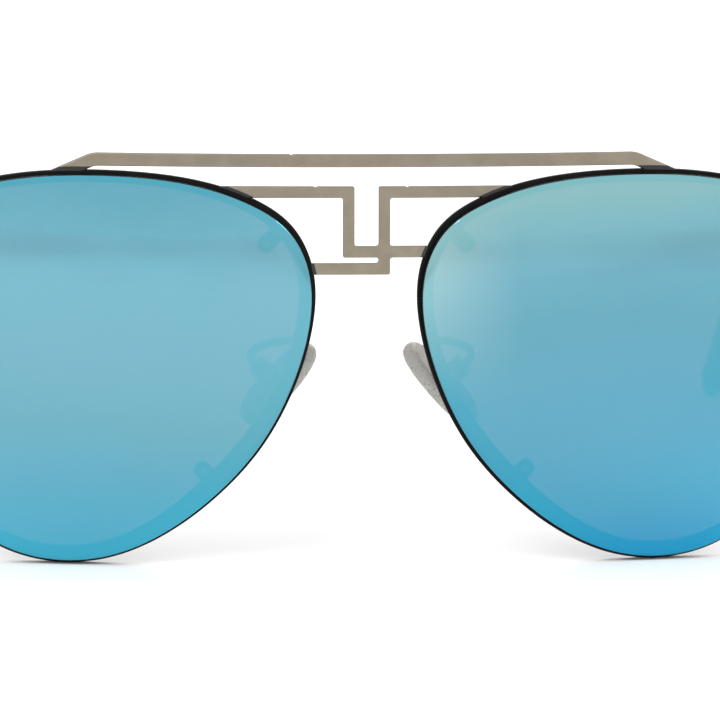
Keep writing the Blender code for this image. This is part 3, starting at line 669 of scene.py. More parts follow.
def rim_inner_loop():
    """Trace the rim's inner edge, with a round lug on a filleted foot at each rivet."""
    lugs = [OUTLINE.distance_at(angle) for angle in LUG_ANGLES.values()]
    reach = LUG_RADIUS + LUG_FOOT
    stations = []
    for distance in OUTLINE.even(RIM_SIDES):
        if min(abs(distance - lug) for lug in lugs) > reach + LUG_CLEARANCE:
            band = OUTLINE.at(distance)[2]
            stations.append((distance, OUTLINE.offset(distance, band - RIM_OVERHANG)))
    for lug in lugs:
        middle, to_centre, band = OUTLINE.at(lug)
        foot = band - RIM_OVERHANG
        along = np.array([to_centre[1], -to_centre[0]])
        profile = lug_profile(foot)
        for order, (u, v) in enumerate(profile):
            straight = middle + along * u + to_centre * v
            bent = OUTLINE.offset(lug + u, v)
            share = clamped((v - foot) / (LUG_INSET - foot))
            place = lug - reach + order * 2 * reach / len(profile)
            stations.append((place, bent + (straight - bent) * share))
    stations.sort(key=lambda station: station[0])
    return np.array([point for _, point in stations])


def rim_outer_loop():
    """Trace the rim's outer edge, which stands out a little further where the bridge joins."""
    first, last = (OUTLINE.distance_at(angle) for angle in RIM_SWELL_ANGLES)
    points = []
    for distance in OUTLINE.even(RIM_SIDES):
        share = clamped((distance - first) / (last - first))
        swell = RIM_SWELL * math.sin(math.pi * share) ** 2
        points.append(OUTLINE.offset(distance, -RIM_OVERHANG - swell))
    return np.array(points)


def make_rim(name, side, look):
    edge_pitch, pitch = RIM_PITCHES
    loops = [rim_outer_loop(), stepped(rim_inner_loop()[::-1], edge_pitch)]
    for angle in LUG_ANGLES.values():
        loops.append(circle(lug_centre(angle), RIVET_HOLE_RADIUS, RIVET_HOLE_SIDES)[::-1])
    loops = [mirrored(loop, side) for loop in loops]
    mesh = sheet_mesh(f"lacquered_rim_{name}", loops, RIM_FRONT, RIM_BACK, RIM_EDGE, pitch)
    finished(mesh, look, f"rim_{name}")


def make_lens(name, side, look):
    """Make a lens with a polished chamfer, a ground edge and exact spherical faces."""
    edge = [OUTLINE.at(distance)[:2] for distance in OUTLINE.even(LENS_SIDES)]
    rim = np.array([point for point, _ in edge])
    inward = np.array([direction for _, direction in edge])
    centre = np.array(LENS_CENTRE)
    inner = rim + inward * (LENS_CHAMFER + LENS_GRIND)
    shares = [LENS_POLE_SHARE] + [math.sqrt((k + 1) / LENS_RINGS) for k in range(LENS_RINGS)]
    disc = [centre + (inner - centre) * share for share in shares]
    profile = [(ring, 0.0) for ring in disc]
    profile += [
        (rim + inward * LENS_CHAMFER, LENS_EASE),
        (rim + inward * LENS_GRIND, LENS_GRIND_DEPTH),
        (rim, LENS_CHAMFER),
        (rim, LENS_THICKNESS - LENS_CHAMFER),
        (rim + inward * LENS_GRIND, LENS_THICKNESS - LENS_GRIND_DEPTH),
        (rim + inward * LENS_CHAMFER, LENS_THICKNESS - LENS_EASE),
    ]
    profile += [(ring, LENS_THICKNESS) for ring in reversed(disc)]
    rings = [on_front(side * ring[:, 0], ring[:, 1], depth) for ring, depth in profile]
    mesh = new_mesh(f"mirror_lens_{name}", *loft(rings))
    mirror, back, ground = range(3)
    spans = [mirror] * (len(disc) + 1) + [ground] * 5 + [back] * (len(disc) - 1)
    kinds = [kind for kind in spans for _ in rim] + [mirror, back]
    mesh.polygons.foreach_set("material_index", kinds)
    finished(mesh, look, f"lens_{name}", sharp=20.0)


def bar_end(start_low, start_high, direction):
    """Trace a bar's end under the rim, and close its thin upper tip square to the rim."""
    low = OUTLINE.crossing(np.array(start_low), direction, -BAR_LAP)
    high = OUTLINE.crossing(np.array(start_high), direction, -RIM_OVERHANG)
    corners = OUTLINE.run(low, high, -BAR_LAP) + [OUTLINE.offset(high, -RIM_OVERHANG)]
    return [(tuple(point), 0) for point in corners]


def across(corners):
    """Mirror a run of corners to the wearer's right and turn its order round."""
    return [((-x, z), radius) for (x, z), radius in reversed(corners)]


def nick(x, top):
    """Trace the small hollow that is left where a bar was broken out of its sheet."""
    return [
        ((x + NICK_WIDTH / 2, top), 0),
        ((x + NICK_FLOOR / 2, top - NICK_DEPTH), 0),
        ((x - NICK_FLOOR / 2, top - NICK_DEPTH), 0),
        ((x - NICK_WIDTH / 2, top), 0),
    ]


def make_bar(name, corners, steps, pitches, look, node):
    """Make a flat bar from the corners of its outline."""
    edge_pitch, pitch = pitches
    loop = stepped(filleted(corners, steps), edge_pitch)
    mesh = sheet_mesh(name, [loop], BAR_FRONT, BAR_BACK, BAR_EDGE, pitch)
    add_lacquer_distance(mesh)
    finished(mesh, look, node)


def make_bridge(look):
    half = BRIDGE_BAR_WIDTH / 2
    outer = UPRIGHT_X + half
    inner = UPRIGHT_X - half
    slot = (MIDDLE_BAR_Z - LOWER_BAR_Z - BRIDGE_BAR_WIDTH) / 2 - SLOT_FLAT
    ends = {}
    for height in (UPPER_BAR_Z, MIDDLE_BAR_Z, LOWER_BAR_Z):
        ends[height] = bar_end((outer, height - half), (outer, height + half), (1, 0))
    corners = [
        ((outer, UPPER_BAR_Z - half), INNER_CORNER),
        *ends[UPPER_BAR_Z],
        *nick(BRIDGE_NICKS_X[0], UPPER_BAR_Z + half),
        ((inner, UPPER_BAR_Z + half), OUTER_CORNER),
        ((inner, MIDDLE_BAR_Z + half), INNER_CORNER),
        ((-inner, MIDDLE_BAR_Z + half), INNER_CORNER),
        ((-inner, UPPER_BAR_Z + half), OUTER_CORNER),
        *nick(BRIDGE_NICKS_X[1], UPPER_BAR_Z + half),
        *across(ends[UPPER_BAR_Z]),
        ((-outer, UPPER_BAR_Z - half), INNER_CORNER),
        ((-outer, MIDDLE_BAR_Z - half), OUTER_CORNER),
        ((inner, MIDDLE_BAR_Z - half), slot),
        ((inner, LOWER_BAR_Z + half), slot),
        *across(ends[LOWER_BAR_Z]),
        ((outer, LOWER_BAR_Z - half), OUTER_CORNER),
        ((outer, MIDDLE_BAR_Z - half), INNER_CORNER),
        *ends[MIDDLE_BAR_Z],
        ((outer, MIDDLE_BAR_Z + half), INNER_CORNER),
    ]
    make_bar("openwork_bridge", corners, 6, BRIDGE_PITCHES, look, "bridge")


def make_brow_bar(look):
    half = BROW_BAR_WIDTH / 2
    direction = np.array([math.cos(BROW_BAR_DROP), -math.sin(BROW_BAR_DROP)])
    normal = np.array([math.sin(BROW_BAR_DROP), math.cos(BROW_BAR_DROP)])
    corner = np.array([BROW_BAR_CORNER_X, BROW_BAR_Z])
    mitre = (normal + np.array([0.0, 1.0])) / (1 + normal[1]) * half
    right = [
        (tuple(corner - mitre), BROW_BAR_CORNER_RADIUS - half),
        *bar_end(corner - mitre, corner + mitre, direction),
        (tuple(corner + mitre), BROW_BAR_CORNER_RADIUS + half),
    ]
    corners = right + nick(BROW_NICK_X, BROW_BAR_Z + half) + across(right)
    make_bar("brow_bar_sheet", corners, 8, BROW_BAR_PITCHES, look, "brow_bar")


# Lofted and turned shapes: each function returns points in millimetres and faces.

def loft(rings):
    """Join rings of points into a solid that is capped at both ends."""
    count = len(rings[0])
    points = [tuple(point) for ring in rings for point in ring]
    last = len(points) - count
    faces = []
    for here in range(0, last, count):
        ahead = here + count
        for j in range(count):
            k = (j + 1) % count
            faces.append((here + j, here + k, ahead + k, ahead + j))
    faces.append(tuple(reversed(range(count))))
    faces.append(tuple(range(last, last + count)))
    return points, faces


def prism(outline, low, high):
    return loft([[(x, y, height) for x, y in outline] for height in (low, high)])


def turned(profile, sides=32):
    """Turn a profile of radius and height about the z axis."""
    turns = [2 * math.pi * i / sides for i in range(sides)]
    return loft([[(r * math.cos(a), r * math.sin(a), h) for a in turns] for r, h in profile])


def rectangle(low_x, low_y, high_x, high_y):
    return [(low_x, low_y), (high_x, low_y), (high_x, high_y), (low_x, high_y)]


def placed(shape, matrix):
    points, faces = shape
    return [tuple(matrix @ Vector(point)) for point in points], faces


def sided(rings, side):
    """Loft rings that were laid out for the wearer's left, mirrored for the right."""
    return loft([[(side * p.x, p.y, p.z) for p in ring] for ring in rings])


def swept(path, sections):
    """Sweep sections along a path, with their second coordinate kept upright."""
    rings = []
    for i, (point, section) in enumerate(zip(path, sections)):
        forward = (path[min(i + 1, len(path) - 1)] - path[max(i - 1, 0)]).normalized()
        side = forward.cross(Vector((0, 0, 1))).normalized()
        upright = side.cross(forward)
        rings.append([point + side * u + upright * v for u, v in section])
    return rings


def round_section(half_width, half_height, sides, power=2.0):
    """Return a section between an ellipse (power 2) and a rectangle with round corners."""
    section = []
    for i in range(sides):
        angle = 2 * math.pi * (i + 0.5) / sides
        c = math.cos(angle)
        s = math.sin(angle)
        u = math.copysign(abs(c) ** (2 / power), c) * half_width
        v = math.copysign(abs(s) ** (2 / power), s) * half_height
        section.append((u, v))
    return section


def soft_rectangle(half_width, half_height, radius):
    """Return a rectangle with round corners, with the same number of points at any size."""
    section = []
    for corner in range(4):
        start = math.pi / 2 * corner
        x = (half_width - radius) * (1 if corner in (0, 3) else -1)
        y = (half_height - radius) * (1 if corner in (0, 1) else -1)
        for turn in quarter(4):
            angle = start + turn
            section.append((x + radius * math.cos(angle), y + radius * math.sin(angle)))
    return section


def settled(name, place, shape, changes):
    """Put a shape in place, change it, and return the mesh that results.

    Each change is a Boolean operation and a tool for the same place, or a bevel's width."""
    work = linked("work", new_mesh("work", *placed(shape, place)))
    made = [work]
    for kind, value in changes:
        if kind == "BEVEL":
            bevel = work.modifiers.new("bevel", "BEVEL")
            bevel.width = value * MM
            bevel.segments = BEVEL_SEGMENTS
            bevel.limit_method = "ANGLE"
            bevel.angle_limit = BEVEL_ANGLE
            bevel.harden_normals = False
            continue
        tool = linked("tool", new_mesh("tool", *placed(value, place)))
        made.append(tool)
        change = work.modifiers.new("change", "BOOLEAN")
        change.operation = kind
        change.object = tool
        change.solver = "EXACT"
    for item in made:
        cleaned(item.data)
    graph = bpy.context.evaluated_depsgraph_get()
    graph.update()
    mesh = bpy.data.meshes.new_from_object(work.evaluated_get(graph))
    for item in made:
        bpy.data.objects.remove(item, do_unlink=True)
    mesh.name = name
    return mesh


def front_matrix(x, z):
    """Return the place of a point of the front, with z pointing out of the lens face."""
    place = Vector(on_front(x, z, 0.0))
    outward = place - Vector((0, BASE_RADIUS + FRONT_Y, MIDDLE_HEIGHT))
    turn = outward.to_track_quat("Z", "Y").to_matrix().to_4x4()
    return Matrix.Translation(place) @ turn


def make_rivets(name, side, look):
    """Make the rivets, each with a domed head behind the rim and a tip inside the lens."""
    top = -RIM_BACK - RIVET_HEAD_GAP
    profile = []
    for turn in quarter(RIVET_DOME_STEPS):
        radius = RIVET_HEAD_RADIUS * math.sin(turn) + RIVET_POLE_RADIUS
        profile.append((radius, top - RIVET_HEAD_SIDE - RIVET_DOME * math.cos(turn)))
    profile += [
        (RIVET_HEAD_RADIUS, top),
        (RIVET_RADIUS, top),
        (RIVET_RADIUS, -RIVET_TIP_DEPTH - RIVET_TIP_CHAMFER),
        (RIVET_RADIUS - RIVET_TIP_CHAMFER, -RIVET_TIP_DEPTH),
    ]
    for corner, angle in LUG_ANGLES.items():
        x, z = lug_centre(angle)
        shape = placed(turned(profile), front_matrix(side * x, z))
        mesh = new_mesh(f"rivet_{corner}_{name}", *shape)
        finished(mesh, look, f"lens_rivet_{corner}_{name}")


# End pieces and hinges

def hinge_matrix(side):
    place = Vector((side * HINGE_X, HINGE_Y + FRONT_Y, HINGE_Z + MIDDLE_HEIGHT))
    return Matrix.Translation(place) @ Matrix.Rotation(-TEMPLE_SLOPE, 4, "X")


def make_end_piece(name, side, look):
    """Make the strap from the rim's edge outwards and back to the hinge."""
    along = Vector((0, math.cos(TEMPLE_SLOPE), -math.sin(TEMPLE_SLOPE)))
    x = HINGE_X + STRAP_OFFSET
    end = Vector((x, HINGE_Y + FRONT_Y, HINGE_Z + MIDDLE_HEIGHT)) - along * STRAP_END_GAP
    corner = end - along * END_PIECE_LEG
    root_y = on_front(END_PIECE_ROOT_X, HINGE_Z, (BAR_FRONT + BAR_BACK) / 2)[1]
    root = Vector((END_PIECE_ROOT_X, root_y, corner.z))
    bend = filleted([(root, 0), (corner, END_PIECE_RADIUS), (end, 0)], END_PIECE_STEPS)
    path = [Vector(point) for point in stepped(bend, END_PIECE_PITCH, closed=False)]
    section = soft_rectangle(STRAP_THICKNESS / 2, STRAP_HEIGHT / 2, STRAP_CORNER)
    shape = sided(swept(path, [section] * len(path)), side)
    void = [(side * x, z + MIDDLE_HEIGHT) for x, z in OUTLINE.loop(LENS_VOID_SIDES, -BAR_LAP)]
    tool = loft([[(x, y + FRONT_Y, z) for x, z in void] for y in LENS_VOID_SPAN])
    mesh = settled(f"end_strap_{name}", Matrix.Identity(4), shape, [("DIFFERENCE", tool)])
    add_lacquer_distance(mesh)
    finished(mesh, look, f"end_piece_{name}", sharp=30.0)


def leaf_shape(side, towards):
    near = (side * LEAF_INNER, towards * LEAF_START)
    far = (side * LEAF_OUTER, towards * LEAF_LENGTH)
    return prism(rectangle(*near, *far), -LEAF_HEIGHT / 2, LEAF_HEIGHT / 2)


def knuckle_shape(side, towards, low, high):
    """Make a knuckle about the hinge axis, with a web that reaches its leaf."""
    last = 2 * math.pi - math.acos(0.5)
    turns = [last * i / ROUND_SIDES for i in range(ROUND_SIDES + 1)]
    outline = [(KNUCKLE_RADIUS * math.cos(a), KNUCKLE_RADIUS * math.sin(a)) for a in turns]
    for x in (KNUCKLE_RADIUS / 2, KNUCKLE_RADIUS):
        outline.append((x, -LEAF_START - KNUCKLE_WEB_OVERLAP))
    return prism([(side * x, -towards * y) for x, y in outline], low, high)


def hole_shape(radius, reach):
    return turned([(radius, -reach), (radius, reach)])


def make_screw(name, place, radius, bottom, shoulder, head, look, node):
    """Make a screw with a rounded head, given by its radius and height, and cut its slot."""
    head_radius, rise = head
    profile = [
        (radius - SCREW_END_CHAMFER, bottom),
        (radius, bottom + SCREW_END_CHAMFER),
        (radius, shoulder),
    ]
    profile += [(head_radius - rise * i, shoulder + rise * up) for i, up in HEAD_PROFILE]
    half_width, reach, depth = HEAD_SLOT
    half_width *= head_radius
    reach *= head_radius
    top = shoulder + rise
    slot = prism(rectangle(-reach, -half_width, reach, half_width), top - rise * depth, top + 1.0)
    mesh = settled(name, place, turned(profile, ROUND_SIDES), [("DIFFERENCE", slot)])
    finished(mesh, look, node, sharp=30.0)


def make_hinge(name, side, look, screw_look):
    place = hinge_matrix(side)
    reach = (3 * KNUCKLE_HEIGHT + 2 * KNUCKLE_GAP) / 2
    half = KNUCKLE_HEIGHT / 2
    outer_levels = ((reach - KNUCKLE_HEIGHT, reach), (-reach, KNUCKLE_HEIGHT - reach))
    layout = (
        ("front", "front", -1, outer_levels),
        ("temple", f"temple_{name}_arm", 1, ((-half, half),)),
    )
    for part, body, towards, levels in layout:
        changes = [("UNION", knuckle_shape(side, towards, *level)) for level in levels]
        changes += [("DIFFERENCE", hole_shape(*KNUCKLE_HOLE)), ("BEVEL", HINGE_BEVEL)]
        leaf = leaf_shape(side, towards)
        mesh = settled(f"knuckle_leaf_{part}_{name}", place, leaf, changes)
        finished(mesh, look, f"hinge_{part}_{name}", body, sharp=30.0)
    turn = place @ Matrix.Rotation(side * HINGE_SCREW_TURN, 4, "Z")
    ends = (-reach - SCREW_END_LENGTH, reach + KNUCKLE_GAP)
    head = (HINGE_SCREW_HEAD_RADIUS, HINGE_SCREW_HEAD_HEIGHT)
    node = f"hinge_screw_{name}"
    make_screw(f"hinge_pin_{name}", turn, HINGE_SCREW_RADIUS, *ends, head, screw_look, node)


# Temples

def temple_point(distance):
    """Return the middle of the temple at a distance from the hinge, on the wearer's left."""
    straight = min(distance, EAR_BEND_START)
    past = max(distance - EAR_BEND_START, 0)
    turned_by = min(past / EAR_BEND_RADIUS, EAR_BEND_ANGLE)
    rest = max(distance - EAR_BEND_START - EAR_BEND_RADIUS * EAR_BEND_ANGLE, 0)
    y = straight + EAR_BEND_RADIUS * math.sin(turned_by) + rest * math.cos(turned_by)
    z = -EAR_BEND_RADIUS * (1 - math.cos(turned_by)) - rest * math.sin(turned_by)
    inward = past / (TEMPLE_LENGTH - EAR_BEND_START)
    return Vector((STRAP_OFFSET - TIP_TURN_IN * inward ** 2, y, z))


def temple_rings(distances, sections):
    return swept([temple_point(distance) for distance in distances], sections)


def even_steps(start, end, pitch):
    return np.linspace(start, end, max(2, math.ceil((end - start) / pitch) + 1)).tolist()


def temple_section(distance):
    """Return the section of the flat bar, which tapers towards its rear, or of the wire."""
    if distance >= CORE_WIRE_START:
        return soft_rectangle(CORE_WIRE_RADIUS, CORE_WIRE_RADIUS, CORE_WIRE_RADIUS - CORE_WIRE_FLAT)
    taper = distance / CORE_WIRE_START
    height = TEMPLE_FRONT_HEIGHT + (TEMPLE_REAR_HEIGHT - TEMPLE_FRONT_HEIGHT) * taper
    ease = min((distance - STRAP_END_GAP) / TEMPLE_END_EASE, 1.0)
    cut = TEMPLE_END_CUT * (1 - ease)
    return soft_rectangle(STRAP_THICKNESS / 2 - cut, height / 2 - cut, STRAP_CORNER)


def make_temple(name, side, look):
    """Make the flat bar of a temple and the core wire that runs on from it."""
    distances = [STRAP_END_GAP + step for step in (0.0, 0.07, TEMPLE_END_EASE)]
    distances += even_steps(TEMPLE_MARGIN, CORE_WIRE_START - TEMPLE_MARGIN, TEMPLE_PITCH)
    distances += even_steps(TIP_START - 0.2, CORE_WIRE_END, CORE_WIRE_PITCH)
    rings = temple_rings(distances, [temple_section(distance) for distance in distances])
    mesh = new_mesh(f"temple_bar_{name}", *placed(sided(rings, side), hinge_matrix(side)))
    finished(mesh, look, f"temple_{name}", f"temple_{name}_arm", sharp=32.0)


def tip_section(distance):
    """Return the section of a temple tip, which swells from its mouth to a round nose."""
    along = (distance - TIP_START) / (TEMPLE_LENGTH - TIP_START)
    swell = 1 - (1 - along) ** 2
    left = (TEMPLE_LENGTH - distance) / TIP_NOSE_LENGTH
    closing = math.sqrt(max(1 - (1 - left) ** 2, TIP_NOSE_BLUNT)) if left < 1 else 1.0
    mouth = 1 - TIP_MOUTH_CUT * clamped(1 - (distance - TIP_START) / TIP_MOUTH_EASE) ** 2
    sizes = [(a + b * swell) * closing * mouth for a, b in zip(TIP_MOUTH_SIZE, TIP_SWELL)]
    return round_section(*sizes, TIP_SIDES, TIP_SQUARENESS)


def make_temple_tip(name, side, look):
    """Make a tip from the end of its bore, out over its mouth and along to its nose."""
    within = even_steps(TIP_START, CORE_WIRE_END + TIP_BORE_SPARE, TIP_BORE_PITCH)
    bore = round_section(TIP_BORE_RADIUS, TIP_BORE_RADIUS, TIP_SIDES)
    outside = [TIP_START, TIP_START + 0.1, TIP_START + TIP_MOUTH_EASE]
    outside += even_steps(TIP_START + 1.0, TEMPLE_LENGTH - TIP_NOSE_LENGTH - 0.2, TIP_PITCH)
    for turn in quarter(TIP_NOSE_STEPS):
        outside.append(TEMPLE_LENGTH - TIP_NOSE_LENGTH * (1 - math.sin(turn)))
    rings = temple_rings(within, [bore] * len(within))[::-1]
    rings += temple_rings(outside, [tip_section(distance) for distance in outside])
    mesh = new_mesh(f"acetate_tip_{name}", *placed(sided(rings, side), hinge_matrix(side)))
    finished(mesh, look, f"temple_tip_{name}", f"temple_{name}_arm", sharp=50.0)


# Nose pads

def pad_matrix(side):
    down = Vector((side * math.sin(PAD_TILT), 0, -math.cos(PAD_TILT)))
    inward = Vector((-side * math.cos(PAD_TILT), 0, -math.sin(PAD_TILT)))
    facing = inward * math.cos(PAD_SPLAY) + Vector((0, math.sin(PAD_SPLAY), 0))
    turn = Matrix((down.cross(facing), facing, -down)).transposed().to_4x4()
    x, y, z = PAD_PIVOT
    return Matrix.Translation(Vector((side * x, y + FRONT_Y, z + MIDDLE_HEIGHT))) @ turn


def cross_shape(outline, half_width):
    """Extrude an outline in y and z across the pad."""
    return loft([[(x, y, z) for y, z in outline] for x in (-half_width, half_width)])


def nose_pad_shape():
    """Stack layers from the pad's back over its round edge to its gently domed face."""
    middle = (PAD_BACK + PAD_FACE) / 2
    half = (PAD_FACE - PAD_BACK) / 2
    layers = [(PAD_BACK, share) for share in PAD_BACK_SHARES]
    for k in range(PAD_EDGE_STEPS + 1):
        angle = -math.pi / 2 + math.pi * k / PAD_EDGE_STEPS
        share = 1.0 - PAD_ROUND / PAD_HALF_WIDTH * (1 - math.cos(angle))
        layers.append((middle + half * math.sin(angle), share))
    layers += [(PAD_FACE, share) for share in PAD_FACE_SHARES]
    rings = []
    for height, share in layers:
        shrink = PAD_HALF_WIDTH * (1 - share)
        length = max(PAD_HALF_LENGTH - shrink, PAD_HALF_LENGTH * share)
        ring = round_section(PAD_HALF_WIDTH - shrink, length, PAD_SIDES, PAD_SQUARENESS)
        rings.append([(x * (1 - PAD_TAPER * z / PAD_HALF_LENGTH), height, z) for x, z in ring])
    return loft(rings)


def pocket_shape():
    """Return the room in a pad for the plate and the tongue of its lug."""
    half = LUG_PLATE_HALF_LENGTH + POCKET_GAP
    outline = rectangle(POCKET_START, -half, LUG_PLATE_FACE + POCKET_GAP, half)
    return cross_shape(outline, TONGUE_HALF_WIDTH + POCKET_GAP)


def pad_lug_shape():
    half = [
        (LUG_PLATE_FACE, LUG_PLATE_HALF_LENGTH),
        (LUG_PLATE_BACK, LUG_PLATE_HALF_LENGTH),
        (LUG_PLATE_BACK, TONGUE_HALF_HEIGHT),
        (TONGUE_END, TONGUE_HALF_HEIGHT),
    ]
    return cross_shape([(y, -z) for y, z in reversed(half)] + half, TONGUE_HALF_WIDTH)


def pad_box_shape():
    gap = TONGUE_HALF_WIDTH + BOX_SIDE_GAP
    half = [
        (BOX_HALF_WIDTH, BOX_BACK),
        (BOX_HALF_WIDTH, BOX_MOUTH),
        (gap, BOX_MOUTH),
        (gap, BOX_FLOOR),
    ]
    outline = half + [(-x, y) for x, y in reversed(half)]
    return prism(outline, -BOX_HALF_HEIGHT, BOX_HALF_HEIGHT)


def make_pad(name, side, looks):
    """Make a nose pad with its lug, and the box and screw that hold it."""
    place = pad_matrix(side)
    pocket = [("DIFFERENCE", pocket_shape())]
    mesh = settled(f"silicone_pad_{name}", place, nose_pad_shape(), pocket)
    finished(mesh, looks["silicone"], f"nose_pad_{name}", f"pad_{name}", sharp=50.0)
    hole = placed(hole_shape(*PAD_HOLE), Matrix.Rotation(math.pi / 2, 4, "Y"))
    changes = [("DIFFERENCE", hole), ("BEVEL", LUG_BEVEL)]
    mesh = settled(f"pad_insert_{name}", place, pad_lug_shape(), changes)
    finished(mesh, looks["steel"], f"pad_lug_{name}", f"pad_{name}", sharp=30.0)
    changes = [("DIFFERENCE", hole), ("BEVEL", BOX_BEVEL)]
    mesh = settled(f"pad_clevis_{name}", place, pad_box_shape(), changes)
    finished(mesh, looks["straps"], f"pad_box_{name}", sharp=30.0)
    turn = place @ Matrix.Rotation(side * math.pi / 2, 4, "Y")
    turn = turn @ Matrix.Rotation(PAD_SCREW_TURN, 4, "Z")
    ends = (-BOX_HALF_WIDTH - SCREW_END_LENGTH, BOX_HALF_WIDTH + PAD_SCREW_HEAD_GAP)
    head = (PAD_SCREW_HEAD_RADIUS, PAD_SCREW_HEAD_HEIGHT)
    node = f"pad_screw_{name}"
    make_screw(f"pad_pin_{name}", turn, PAD_SCREW_RADIUS, *ends, head, looks["steel"], node)


def make_pad_arm(name, side, look):
    """Bend a wire from the rim's back, where it swells into its braze, to the pad's box."""
    place = pad_matrix(side)
    x, z = ARM_ROOT
    start = Vector(on_front(side * x, z, RIM_BACK)) - Vector((0, ARM_ROOT_LAP, 0))
    stop = place @ Vector((0, ARM_STOP, 0))
    leave = start + Vector((side * ARM_LEAN[0], ARM_REACH, ARM_LEAN[1]))
    arrive = place @ Vector((0, BOX_BACK - ARM_GAP - ARM_REACH, 0))
    path = interpolate_bezier(start, leave, arrive, stop, ARM_STEPS)
    radii = [ARM_RADIUS] * ARM_STEPS
    for k in range(ARM_BRAZE_STEPS):
        radii[k] *= 1 + ARM_BRAZE_SWELL * (1 - k / ARM_BRAZE_STEPS) ** 2
    sections = [round_section(radius, radius, ARM_SIDES) for radius in radii]
    mesh = new_mesh(f"pad_wire_{name}", *loft(swept(path, sections)))
    finished(mesh, look, f"pad_arm_{name}")


# Materials

class Finish:
    """A material made of one main shader and the nodes that feed it."""

    def __init__(self, name, colour, roughness, settings=None):
        self.material = bpy.data.materials.new(name)
        self.material.use_nodes = True
        self.nodes = self.material.node_tree.nodes
        self.shader = self.nodes["Principled BSDF"]
        self.paint("Base Color", colour)
        self.paint("Roughness", roughness)
        for socket, value in (settings or {}).items():
            self.paint(socket, value)
        self.places = self.nodes.new("ShaderNodeTexCoord").outputs["Object"]

    def feed(self, socket, value):
        """Link a socket to another one, or set it to a number or a colour."""
        if isinstance(value, bpy.types.NodeSocket):
            self.material.node_tree.links.new(value, socket)
        elif isinstance(value, tuple) and socket.type == "RGBA":
            socket.default_value = (*value, 1.0)
        else:
            socket.default_value = value

    def paint(self, socket, value):
        self.feed(self.shader.inputs[socket], value)

    def add(self, kind, *values, **settings):
        """Add a node, feed its first sockets and return its outputs."""
        node = self.nodes.new(kind)
        for setting, value in settings.items():
            setattr(node, setting, value)
        for socket, value in zip(node.inputs, values):
            self.feed(socket, value)
        return node.outputs

    def noise(self, size, stretch=(1.0, 1.0, 1.0), detail=3.0):
        """Return noise whose grains measure about the given millimetres, times the stretch."""
        still = (0.0, 0.0, 0.0)
        scale = tuple(1 / (MM * size * s) for s in stretch)
        places = self.add("ShaderNodeMapping", self.places, still, still, scale)[0]
        return self.add("ShaderNodeTexNoise", places, 0.0, 1.0, detail)["Fac"]

    def value(self, name):
        return self.add("ShaderNodeAttribute", attribute_name=name)["Fac"]

    def ranged(self, value, low, high, to_low=0.0, to_high=1.0):
        return self.add("ShaderNodeMapRange", value, low, high, to_low, to_high)[0]

    def maths(self, operation, first, second=0.0):
        return self.add("ShaderNodeMath", first, second, operation=operation)[0]

    def mixed(self, share, first, second):
        """Mix two colours."""
        node = self.nodes.new("ShaderNodeMix")
        node.data_type = "RGBA"
        self.feed(node.inputs[0], share)
        self.feed(node.inputs[6], first)
        self.feed(node.inputs[7], second)
        return node.outputs[2]

    def clouded(self, noise, low, high, tones):
        """Run between a pair of colours as the noise goes from low to high."""
        return self.mixed(self.ranged(noise, low, high), *tones)

    def polish(self, size, low, high, smooth, rough):
        """Vary the roughness with noise of the given size."""
        self.paint("Roughness", self.ranged(self.noise(size), low, high, smooth, rough))

    def bump(self, height, distance, strength):
        """Raise the surface by a height that runs from 0 to the distance in millimetres."""
        node = self.nodes.new("ShaderNodeBump")
        node.inputs["Strength"].default_value = strength
        node.inputs["Distance"].default_value = distance * MM
        self.feed(node.inputs["Height"], height)
        self.paint("Normal", node.outputs[0])

    def see_through(self, share, tint):
        """Let the given share of the light pass straight through, tinted."""
        clear = self.add("ShaderNodeBsdfTransparent", tint)[0]
        mix = self.add("ShaderNodeMixShader", share, self.shader.outputs[0], clear)[0]
        self.feed(self.nodes["Material Output"].inputs["Surface"], mix)


def lacquer_material():
    settings = {"Specular IOR Level": 0.08}
    finish = Finish("black_lacquer", (0.008, 0.0075, 0.0075), 0.2, settings)
    spots = finish.ranged(finish.noise(0.6), 0.52, 0.7)
    rubbed = finish.maths("MULTIPLY", finish.value("edge_wear_and_shade"), spots)
    tone = finish.clouded(finish.noise(4.0), 0.3, 0.7, LACQUER_TONES)
    finish.paint("Base Color", finish.mixed(rubbed, tone, LACQUER_RUBBED))
    finish.polish(0.9, 0.3, 0.7, 0.14, 0.3)
    finish.bump(finish.noise(0.35, detail=2.0), 0.004, 0.6)
    return finish.material


